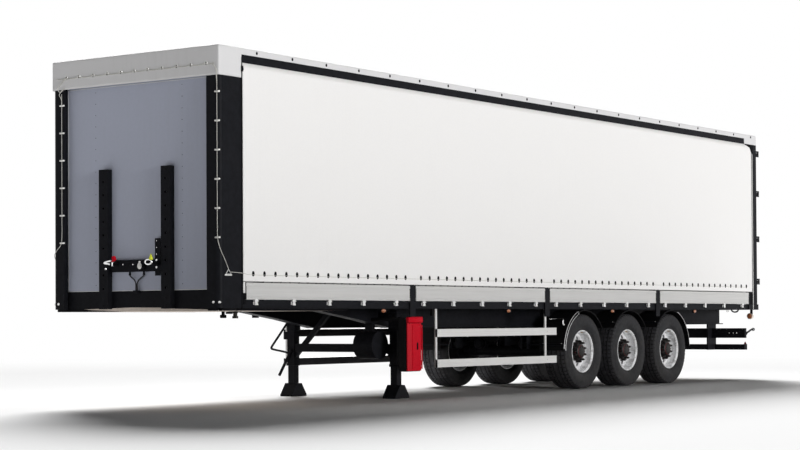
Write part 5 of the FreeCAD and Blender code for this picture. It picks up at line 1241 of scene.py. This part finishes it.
class TRAILER_OT_couplings(bpy.types.Operator):
    """Makes the two coupling heads, the socket's cap, the rivets and the cables' glands"""

    bl_idname = "trailer.couplings"
    bl_label = "Couplings"

    def execute(self, context):
        x = float(BOX["air_coupling_red"][1][0]) - 0.030
        arm = tube(smooth_path(in_plane(x, [
            (-0.226, 1.668), (-0.280, 1.661), (-0.322, 1.651), (-0.330, 1.645), (-0.318, 1.640),
            (-0.280, 1.636), (-0.240, 1.628)]), 6), 0.0105, 10, reference=(1, 0, 0))
        drop = block((x - 0.014, -0.212, 1.606), (x + 0.012, -0.192, 1.655), 0.006, axis=2)
        knob = moved(dome(0.0135, 0.012), (CHANNEL, -0.434, 1.584))
        handle = slanted(block((x - 0.018, -0.198, 1.664), (x + 0.020, -0.152, 1.724), 0.015,
                               steps=4, axis=2), 0, 0.35, (x, -0.175, 1.675))
        lever = tube(smooth_path([(x, -0.215, 1.662), (x + 0.004, -0.200, 1.664),
                                  (x + 0.002, -0.180, 1.680)], 5), 0.009, 10,
                     reference=(1, 0, 0))
        make_piece("coupling_head_red",
                   [(joined([arm, drop, knob]), "polished"),
                    (head_body(x, .020, .031, .006, (.024, 0), (0, -0.300, 1.645)), "dark_hole"),
                    (joined([handle, lever]), "red_plastic")],
                   replaces=("air_coupling_red",))
        spike = turned([(0, 0), (.022, 0), (.023, .012), (.017, .031), (.009, .055),
                        (.006, .065), (0, .068)], 2, (x, 0.376, 1.668), steps=16)
        make_piece("coupling_head_yellow",
                   [(ring_part(0.048, 0.027, 0.0090, (x, 0.340, 1.644)), "polished"),
                    (head_body(x, .021, .030, .008, (.023, .004), (0, 0.330, 1.636)), "dark_hole"),
                    (spike, "yellow_plastic")],
                   replaces=("air_coupling_yellow",))
        # the socket: its cap and lug; then the plate's and the strip's rivets
        front = PLATE + 0.050
        cap = turned([(0.0370, front), (0.0380, front + 0.006), (0.0300, front + 0.014),
                      (0.016, front + 0.017), (0, front + 0.018)], 0, (0, 0.098, 1.608), steps=28)
        cap = (cap[0] * (1, 0.80, 1) + (0, 0.098 * 0.20, 0), cap[1])
        lug = block((front - 0.004, 0.086, 1.638), (front + 0.014, 0.110, 1.662), 0.007)
        collar = turned([(.0400, PLATE), (.050, PLATE), (.050, PLATE + .005),
                         (.0400, PLATE + .007)], 0, (0, 0.105, 1.611), steps=28, closed=True)
        rivets = [copies(dome(radius, height), in_plane(PLATE, places)) for radius, height, places
                  in ((0.0085, 0.006, [(-0.208, 1.630), (-0.054, 1.627), (0.166, 1.627)]),
                      (0.0150, 0.009, [(0.306, 1.668), (0.306, 1.590)]),
                      (0.0065, 0.004, [(0.306, 1.885), (0.306, 1.810), (0.306, 1.736)]))]
        glands = copies(turned([(.0085, 0), (.015, 0), (.015, .010), (.0125, .012), (.0125, .024),
                                (.0085, .024)], 2, steps=6, closed=True),
                        in_plane(PANEL + 0.033, [(-0.102, 1.506), (0.112, 1.506)]))
        # dark discs nearly flush on the strip: painted shade in its holes
        angle = np.arange(12) * FULL_TURN / 12
        holes = copies(section_along(np.stack([0.010 * np.cos(angle), 0.010 * np.sin(angle)], 1),
                                     0, PLATE - 0.001, PLATE + 0.0008),
                       in_plane(0, [(0.306, z) for z in (1.848, 1.773, 1.700, 1.630, 1.548)]))
        make_piece("socket_and_rivets", [(joined([cap, lug]), "white_plastic"),
                                         (joined([collar, glands, holes]), "dark_hole"),
                                         (joined(rivets), "polished")])
        return {"FINISHED"}


# ---------------------------------------------------------------- lamps and mudguards

class TRAILER_OT_side_lamps(bpy.types.Operator):
    """Makes the side lamps: a moulded amber lens in a black housing"""

    bl_idname = "trailer.side_lamps"
    bl_label = "Side lamps"

    def execute(self, context):
        bend, steps = np.linspace(0, math.pi / 2, 6), (np.arange(20) * FULL_TURN / 20)[:, None]
        lens, housing = [], []
        for x in (FRONT - 3.090, AXLES[0] + 2.000, AXLES[0] - 0.820, AXLES[2] - 0.820):
            housing.append(block((x - 0.060, 1.2155, 1.0765), (x + 0.060, 1.238, 1.1258), 0.005))
            lens.append(surface(np.stack(np.broadcast_arrays(
                x + 0.012 + 0.045 * np.cos(bend) * np.cos(steps), 1.236 + 0.014 * np.sin(bend),
                1.100 + 0.0235 * np.cos(bend) * np.sin(steps)), -1), wrap_rows=True))
        # the rear corner's round lamp faces fore and aft
        corner = REAR + 0.1825
        housing.append(block((corner - 0.022, 1.2105, 0.9965), (corner + 0.022, 1.2445, 1.1258),
                             0.008))
        middle = (corner, 1.205, 1.022)
        case = turned([(0.0400, -0.024), (0.0500, -0.024), (0.0520, 0.0), (0.0500, 0.024),
                       (0.0400, 0.024)], 0, middle, closed=True)
        lens += [turned([(0.0405, way * 0.016), (0.0400, way * 0.024), (0.028, way * 0.032),
                         (0, way * 0.036)], 0, middle) for way in (-1, 1)]
        make_piece("marker_lamps", [(both_sides(*lens), "amber_lens"),
                                    (both_sides(case), "primer_steel"),
                                    (both_sides(*housing), "dark_hole")],
                   replaces=("side_marker_lamps",))
        return {"FINISHED"}


class TRAILER_OT_tail_lamps(bpy.types.Operator):
    """Makes the tail lamp clusters, the lamps on rubber arms and the blank plate"""

    bl_idname = "trailer.tail_lamps"
    bl_label = "Tail lamps"

    def execute(self, context):
        back = REAR + 0.340
        red, amber, clear = [], [], []
        black = [block((back - 0.022, 0.712, 0.668), (back, 1.168, 0.822), 0.010)]
        for near, far, where in ((0.725, 0.815, clear), (0.822, 0.930, red),
                                 (0.937, 1.045, red), (1.052, 1.156, amber)):
            where.append(block((back - 0.042, near, 0.682), (back - 0.016, far, 0.808), 0.012,
                               steps=3))
        beam = BOX["rear_underrun"][0][0]
        red.append(section_along([(1.085, 0.555), (1.145, 0.555), (1.115, 0.607)], 0,
                                 beam - 0.0012, beam + 0.003))
        # an arm: its foot, a ribbed rubber stem and the round lamp with a pale and a red face
        reach, foot, eye = back - 0.290, (0, 1.195, 0.742), (0, 1.202, 0.803)
        stem = smooth_path([(back, 1.195, 0.742), (back - 0.10, 1.197, 0.765),
                            (back - 0.19, 1.200, 0.797), (reach + 0.034, 1.202, 0.803)], 8)
        ribs = 0.0145 + 0.0030 * np.sin(np.linspace(0, 9 * FULL_TURN, len(stem))) ** 2
        black += [tube(stem, ribs, 12),
                  turned([(0, back), (.030, back), (.030, back - .012), (.018, back - .020),
                          (0, back - .020)], 0, foot, steps=20),
                  turned([(0, reach + .040), (.024, reach + .040), (.026, reach + .034),
                          (.026, reach + .006), (.024, reach + .004), (0, reach + .004)], 0,
                         eye, steps=20)]
        for where, at, way in ((red, reach + .004, -1), (clear, reach + .040, 1)):
            where.append(turned([(.021, at), (.018, at + way * .005), (0, at + way * .007)], 0,
                                eye, steps=20))
        dots = copies(dome(0.011, 0.006), in_plane(back + 0.060, [
            (y, 0.745) for y in (0.930, 1.000, 1.060)]))
        make_piece("tail_clusters",
                   [(both_sides(*red), "red_lens"), (both_sides(*amber), "amber_lens"),
                    (both_sides(*clear), "clear_lens"), (both_sides(*black), "black_rubber"),
                    (both_sides(dots), "zinc")], replaces=("tail_lamps",))
        plate = block((back - 0.012, -0.262, 0.690), (back - 0.006, 0.262, 0.804), 0.003)
        holder = [block((back - 0.010, -0.270, 0.682), (back + 0.002, 0.270, 0.812), 0.004),
                  block((back - 0.030, -0.060, 0.8135), (back + 0.010, 0.060, 0.838), 0.006)]
        make_piece("blank_plate", [(plate, "white_plastic"), (joined(holder), "black_plastic")])
        return {"FINISHED"}


def on_arch(middle, radius, angle, across):
    """Points round an axle: at the angle a they stand radius times (cos a, sin a) from it."""
    return np.stack(np.broadcast_arrays(middle + radius * np.cos(angle), across,
                                        AXLE_HEIGHT + radius * np.sin(angle)), -1)


def arch_rod(middle, radius, start, end, across, thick, steps=28):
    """A rod bent along an arch, its ends closed."""
    angle = np.radians(np.linspace(start, end, steps))
    return tube(on_arch(middle, radius, angle, across), thick, 8, reference=(0, 1, 0))


def arch_band(middle, inner, outer, start, end, low, high, steps=40):
    """A flat rim along an arch: a rectangle from inner to outer radius carried round the axle."""
    angle = np.radians(np.linspace(start, end, steps))[:, None]
    return surface(on_arch(middle, np.array([inner, outer, outer, inner]), angle,
                           np.array([low, low, high, high])), wrap_columns=True, ends=True)


class TRAILER_OT_mudguard_trim(bpy.types.Operator):
    """Makes the mudguards' rolled rims, bright edge strips, stays and bolts"""

    bl_idname = "trailer.mudguard_trim"
    bl_label = "Mudguard trim"

    def execute(self, context):
        # each guard ends so high above the axle, before and behind it, in mm
        ends, arch = ((20, 330), (330, 330), (330, 20)), 583.0
        rims, stays, bolts = [], [], []
        for middle, (front, rear) in zip(AXLES, ends):
            start = math.degrees(math.asin(front / arch))
            end = 180 - math.degrees(math.asin(rear / arch))
            rims += [arch_band(middle, 0.5745, 0.5850, start, end, low, high)
                     for low, high in ((1.244, 1.2515), (0.8385, 0.846))]
            for angle in (start + 8, end - 8):
                x, z = on_arch(middle, 0.588, math.radians(angle), 0)[[0, 2]]
                stays.append(tube([(x, 0.70, z), (x, 1.235, z)], 0.014, 10))
                bolts += [(x, y, z + 0.012) for y in (0.90, 1.20)]
        rims.append(arch_band(AXLES[0], 0.556, 0.576, 1, 68, 1.2405, 1.2515))
        edge, first = 1.2535, AXLES[0]
        bright = [arch_rod(first, 0.600, 4, 69, edge, 0.0032),
                  arch_rod(first, 0.556, 2, 67, edge, 0.0032),
                  arch_rod(AXLES[2], 0.588, 108, 176, edge, 0.0032),
                  tube(smooth_path([(first + 0.552, 1.215, 0.975), (first + 0.566, 1.218, 0.93),
                                    (first + 0.548, 1.218, 0.90), (first + 0.528, 1.216, 0.915)],
                                   5), 0.010, 8),
                  tube([(first + 0.32, 1.12, 0.993), (first + 0.78, 1.12, 0.993)], 0.005, 8)]
        # the strip's end turns round from one edge to the other
        cosine, sine = math.cos(math.radians(69)), math.sin(math.radians(69))
        bright.append(tube(smooth_path([
            (first + radius * cosine - lift * sine, edge,
             AXLE_HEIGHT + radius * sine + lift * cosine) for radius, lift in (
                 (0.600, 0), (0.594, 0.014), (0.578, 0.020), (0.562, 0.014), (0.556, 0))], 4),
                           0.0032, 8, reference=(0, 1, 0)))
        make_piece("mudguard_rims",
                   [(both_sides(*rims), "black_plastic"), (both_sides(*stays), "black_steel"),
                    (both_sides(copies(dome(0.010, 0.006), bolts)), "zinc"),
                    (both_sides(*bright), "polished")])
        return {"FINISHED"}


# ---------------------------------------------------------------- rear and underside

class TRAILER_OT_rear_trim(bpy.types.Operator):
    """Makes the curtains' rear strips and gussets, the hooks and the rear doors' fittings"""

    bl_idname = "trailer.rear_trim"
    bl_label = "Rear trim"

    def execute(self, context):
        end, angle = CURTAIN_END, np.arange(14) * FULL_TURN / 14
        strip = block((end - 0.034, 1.268, 1.135), (end - 0.018, 1.2765, 3.815), 0.003, axis=2)
        gusset = section_along([(3.838, end + 0.290), (3.838, end - 0.060), (3.680, end - 0.040),
                                (3.720, end + 0.010), (3.790, end + 0.070)], 1, 1.272, 1.2785)
        corner = block((end - 0.030, 1.262, 1.215), (end + 0.060, 1.2735, 1.412), 0.003)
        hook = tube(np.stack([-5.79 + 0.030 * np.cos(angle), np.full(14, 1.222),
                              1.104 + 0.016 * np.sin(angle)], 1), 0.0060, 6,
                    reference=(0, 1, 0), closed=True)
        loop = tube(smooth_path([(-5.93, 1.22, 1.128), (-5.97, 1.22, 1.100), (-6.05, 1.22, 1.088),
                                 (-6.15, 1.22, 1.098), (-6.19, 1.22, 1.128)], 6), 0.012, 8)
        make_piece("curtain_rear_ends", [(both_sides(strip, hook), "pale_aluminium"),
                                         (both_sides(gusset, loop, corner), "dark_hole")])
        # each door: a rubber seal round it, rivet rows, keepers and handles on the lock bars
        low, high = BOX["rear_door_left"][0][2], BOX["rear_door_left"][1][2]
        seals = [block((REAR - 0.006, *start), (REAR + 0.004, *stop), 0.003, axis=axis)
                 for start, stop, axis in (((0.004, low + 0.002), (0.018, high - 0.002), 2),
                                           ((1.222, low + 0.002), (1.236, high - 0.002), 2),
                                           ((0.004, low + 0.002), (1.236, low + 0.018), 1),
                                           ((0.004, high - 0.018), (1.236, high - 0.002), 1))]
        bars = (0.260, 0.820)
        zinc = [copies(facing(dome(0.006, 0.003), 0, -1), in_plane(REAR, [
            (y, z) for z in (low + 0.06, (low + high) / 2, high - 0.06)
            for y in np.arange(0.08, 1.2, 0.12) if min(abs(y - bar) for bar in bars) > 0.05]))]
        keepers = []
        for y in bars:
            for z in (low + 0.14, low + 0.95, high - 0.85, high - 0.12):
                keepers.append(block((REAR - 0.040, y - 0.034, z - 0.028),
                                     (REAR + 0.001, y + 0.034, z + 0.028), 0.006))
                keepers += [moved(facing(dome(0.006, 0.004), 0, -1), (REAR - 0.040, y + away, z))
                            for away in (-0.026, 0.026)]
            zinc += [tube(smooth_path([(REAR - 0.022, y, 1.72), (REAR - 0.046, y + 0.03, 1.72),
                                       (REAR - 0.050, y + 0.16, 1.715),
                                       (REAR - 0.050, y + 0.30, 1.700)], 6), 0.0085, 8),
                     block((REAR - 0.056, y + 0.285, 1.668), (REAR + 0.001, y + 0.325, 1.722),
                           0.006)]
        for side, sign in SIDES:
            make_piece("door_fittings_" + side,
                       [(mirrored(joined(parts), sign), material) for parts, material in (
                           (seals, "black_rubber"), (zinc, "zinc"), (keepers, "galvanised"))],
                       "door_" + side)
        return {"FINISHED"}


class TRAILER_OT_under_trim(bpy.types.Operator):
    """Makes the legs' collars and bolts, the air springs' bellows, U bolts and brake chambers"""

    bl_idname = "trailer.under_trim"
    bl_label = "Legs and suspension"

    def execute(self, context):
        leg = 0.825
        steel = [block((LEG - half, leg - inner, low), (LEG + half, leg + outer, high), radius,
                       axis=2)
                 for half, inner, outer, low, high, radius in (
                     (0.064, 0.064, 0.064, 0.398, 0.432, 0.006),
                     (0.060, 0.060, 0.060, 0.600, 0.612, 0.003),
                     (0.062, 0.072, 0.062, 0.850, 1.085, 0.004))]
        ahead = bolt(0.010, 0.008)
        for z in (0.900, 0.960, 1.040):
            steel += [moved(facing(ahead, 1), (LEG + away, leg + 0.0615, z))
                      for away in (-0.035, 0.035)]
            steel += [moved(ahead, (LEG + 0.0615, leg + away, z)) for away in (-0.035, 0.035)]
        steel += [moved(facing(bolt(0.009), 2), (LEG + away, leg + 0.075, 0.048))
                  for away in (-0.085, 0.085)]
        make_piece("leg_fittings", [(both_sides(*steel), "black_steel")])
        # the stowed crank: two straights with rounded elbows, and a grip across its end
        x = LEG + 0.076
        rod = smooth_path(in_plane(x, [(-0.840, 0.985), (-0.990, 0.805), (-1.118, 0.655),
                                       (-1.130, 0.625), (-1.105, 0.612), (-0.960, 0.588),
                                       (-0.835, 0.566)]), 6)
        grip = in_plane(x, [(-0.800, 0.600), (-0.900, 0.435), (-1.000, 0.270)])
        crank = [tube(rod, 0.0145, 10, reference=(1, 0, 0)),
                 tube(grip, 0.019, 12, reference=(1, 0, 0))]
        crank += [block((LEG + 0.050, y - 0.020, z - 0.016), (x + 0.020, y + 0.020, z + 0.016),
                        0.005) for y, z in ((-0.842, 0.980), (-0.845, 0.568))]
        make_piece("crank_rod", [(joined(crank), "black_steel")], replaces=("landing_crank",))
        # bellows: the radius swells three times between the bead plates
        low, high = BOX["air_springs"]
        t = np.linspace(0, 1, 37)
        swell = 0.1355 + 0.016 * np.abs(np.sin(3 * math.pi * t)) ** 0.7
        profile = np.stack([swell, low[2] + 0.006 + (high[2] - low[2] - 0.012) * t], 1)
        spacing = AXLES[0] - AXLES[1]
        reach = float(high[0] - low[0] - 2 * spacing)
        bellows = [turned(profile, 2, (float(high[0]) - reach / 2 - number * spacing, 0.600, 0),
                          steps=32) for number in range(3)]
        make_piece("bellows", [(both_sides(*bellows), "black_rubber")])
        clamps, cans = [], []
        for axle in AXLES:
            for x in (axle - 0.080, axle + 0.080):
                clamps += [tube(smooth_path(in_plane(x, [(0.600 + way * 0.040, 0.672),
                                                         (0.600 + way * 0.048, 0.56),
                                                         (0.600 + way * 0.044, 0.470)]), 5),
                                0.009, 8) for way in (-1, 1)]
                clamps += [moved(facing(bolt(0.014, 0.016), 2), (x, y, 0.664))
                           for y in (0.560, 0.640)]
            cans += [turned([(0, -.070), (.060, -.070), (.072, -.055), (.074, -.010),
                             (.082, -.006), (.082, .006), (.074, .010), (.072, .052),
                             (.055, .068), (0, .072)], 0, (axle + 0.230, 0.380, 0.640)),
                     tube([(axle + 0.16, 0.380, 0.640), (axle + 0.03, 0.380, 0.625)], 0.010, 8),
                     block((axle + 0.02, 0.360, 0.560), (axle + 0.045, 0.400, 0.650), 0.004)]
        make_piece("axle_fittings", [(both_sides(*clamps, *cans), "black_steel")])
        return {"FINISHED"}


class TRAILER_OT_box_trim(bpy.types.Operator):
    """Makes the fire box's cap, and its door's ribs and latch"""

    bl_idname = "trailer.box_trim"
    bl_label = "Fire box trim"

    def execute(self, context):
        low, high = BOX["fire_box_door"]
        back, front = low[0] + 0.012, high[0]
        cap = [block((back - 0.004, 1.162, 0.9485), (front + 0.004, 1.213, 1.026), 0.014,
                     steps=3, axis=1),
               block((back + 0.02, 1.204, 0.962), (front - 0.02, 1.2165, 1.012), 0.004)]
        make_piece("fire_box_cap", [(joined(cap), "red_plastic")])
        ribs = [block((x - 0.009, 1.211, low[2] + 0.02), (x + 0.009, 1.2205, high[2] - 0.02),
                      0.004, axis=2) for x in (back + 0.030, front - 0.074)]
        ribs += [block((back + 0.03, 1.211, z - 0.006), (front - 0.074, 1.2185, z + 0.006), 0.003)
                 for z in (low[2] + 0.04, high[2] - 0.04)]
        latch = [block((2.916, 1.210, 0.615), (2.944, 1.219, 0.705), 0.004),
                 block((2.924, 1.214, 0.628), (2.936, 1.2255, 0.692), 0.004)]
        make_piece("fire_box_ribs", [(joined(ribs), "red_plastic"), (joined(latch), "dark_hole")],
                   "box_door")
        return {"FINISHED"}


# ---------------------------------------------------------------- stage

# name, direction towards the lamp, strength, angular size in degrees
LAMPS = (("side_light", (0.10, 1.0, 0.025), 3.4, 22),
         ("front_light", (1.0, 0.10, 0.05), 0.03, 30),
         ("back_light", (-1.00, -0.88, 1.0), 5.4, 24))
# the camera's place, and its right, up and back directions
EYE = (22.8338, 15.1045, 0.9798)
EYE_AXES = ((-0.58006788, 0.81455034, -0.0053852), (0.01230547, 0.0153731, 0.9998061),
            (0.81447518, 0.57988914, -0.01894086))
FLOOR_HALF = 400.0            # half the floor's side
FLOOR_FADE = (13.0, 24.0)     # the distances over which it turns to white


class TRAILER_OT_stage(bpy.types.Operator):
    """Makes the floor, the lamps, the world and the camera"""

    bl_idname = "trailer.stage"
    bl_label = "Floor, light and camera"

    def execute(self, context):
        link = context.scene.collection.objects.link
        side = np.linspace(-FLOOR_HALF, FLOOR_HALF, 9)
        points, (faces,) = surface(np.stack(np.meshgrid(side, side, [0.0], indexing="ij"),
                                            -1)[:, :, 0])
        mesh = bpy.data.meshes.new("floor")
        mesh.from_pydata(points, [], faces.tolist())
        mesh.materials.append(floor_material())
        floor = bpy.data.objects.new("floor", mesh)
        link(floor)
        for name, aim, strength, spread in LAMPS:
            lamp = bpy.data.lights.new(name, "SUN")
            lamp.energy = strength
            lamp.angle = math.radians(spread)
            thing = bpy.data.objects.new(name, lamp)
            thing.rotation_mode = "QUATERNION"
            thing.rotation_quaternion = Vector(aim).to_track_quat("Z", "Y")
            link(thing)
        context.scene.world = white_world()
        eye = bpy.data.cameras.new("camera")
        eye.sensor_width, eye.lens = 36, 87.656
        eye.shift_x, eye.shift_y = 0.001526, 0.073316
        eye.clip_end = 2000
        thing = bpy.data.objects.new("camera", eye)
        thing.matrix_world = Matrix.Translation(EYE) @ Matrix(EYE_AXES).transposed().to_4x4()
        link(thing)
        context.scene.camera = thing
        context.scene.view_settings.view_transform = "Standard"
        return {"FINISHED"}


def floor_material():
    """A pale matt floor that keeps the shadow and turns to plain white far away."""
    material = bpy.data.materials.new("floor")
    bench = bench_of(material)
    place = bench.place()
    away = bench.add("VectorMath", {0: place}, operation="LENGTH").outputs["Value"]
    far = bench.ramp(away, *FLOOR_FADE)
    seen = bench.seen()
    speckle = bench.ramp(bench.noise(place, 40.0, 3.0), 0.3, 0.7, 0.83, 0.85)
    matt = bench.add("BsdfDiffuse", {"Color": bench.grey(speckle)})
    white = bench.add("Emission", {"Color": (1, 1, 1, 1), "Strength": 1.0})
    bench.output("OutputMaterial", bench.add("MixShader", {
        0: bench.times(far, seen), 1: matt.outputs[0], 2: white.outputs[0]}))
    return material


def white_world():
    """White where it is seen directly or in gloss, and a soft grey as light."""
    world = bpy.data.worlds.new("studio")
    bench = bench_of(world)
    strength = bench.ramp(bench.seen(), 0.0, 1.0, 0.03, 1.0)
    bench.output("OutputWorld", bench.add("Background", {"Color": (1, 1, 1, 1),
                                                         "Strength": strength}))
    return world


# ---------------------------------------------------------------- add-on

OPERATORS = (TRAILER_OT_stage, TRAILER_OT_finishes, TRAILER_OT_roof_sheet, TRAILER_OT_curtains,
             TRAILER_OT_lacing, TRAILER_OT_drop_boards, TRAILER_OT_side_guards, TRAILER_OT_tyres,
             TRAILER_OT_hubs, TRAILER_OT_front_trim, TRAILER_OT_couplings, TRAILER_OT_side_lamps,
             TRAILER_OT_tail_lamps, TRAILER_OT_mudguard_trim, TRAILER_OT_rear_trim,
             TRAILER_OT_under_trim, TRAILER_OT_box_trim)


class TRAILER_PT_panel(bpy.types.Panel):
    """Lists the trailer's sizes, colours and pieces"""

    bl_idname = "TRAILER_PT_panel"
    bl_label = "Trailer"
    bl_space_type = "VIEW_3D"
    bl_region_type = "UI"
    bl_category = "Trailer"

    def draw(self, context):
        for group in (context.scene.trailer_sizes, context.scene.trailer_colours):
            for name in group.__annotations__:
                self.layout.prop(group, name)
        for operator in OPERATORS:
            self.layout.operator(operator.bl_idname)


CLASSES = (TrailerColours, TrailerSizes) + OPERATORS + (TRAILER_PT_panel,)


def register():
    for made in CLASSES:
        bpy.utils.register_class(made)
    bpy.types.Scene.trailer_colours = bpy.props.PointerProperty(type=TrailerColours)
    bpy.types.Scene.trailer_sizes = bpy.props.PointerProperty(type=TrailerSizes)


def unregister():
    del bpy.types.Scene.trailer_sizes
    del bpy.types.Scene.trailer_colours
    for made in reversed(CLASSES):
        bpy.utils.unregister_class(made)


def main():
    """Makes everything in order."""
    register()
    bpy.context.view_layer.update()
    for operator in OPERATORS:
        area, call = operator.bl_idname.split(".")
        getattr(getattr(bpy.ops, area), call)()
    bpy.context.view_layer.update()


if __name__ == "__main__":
    main()
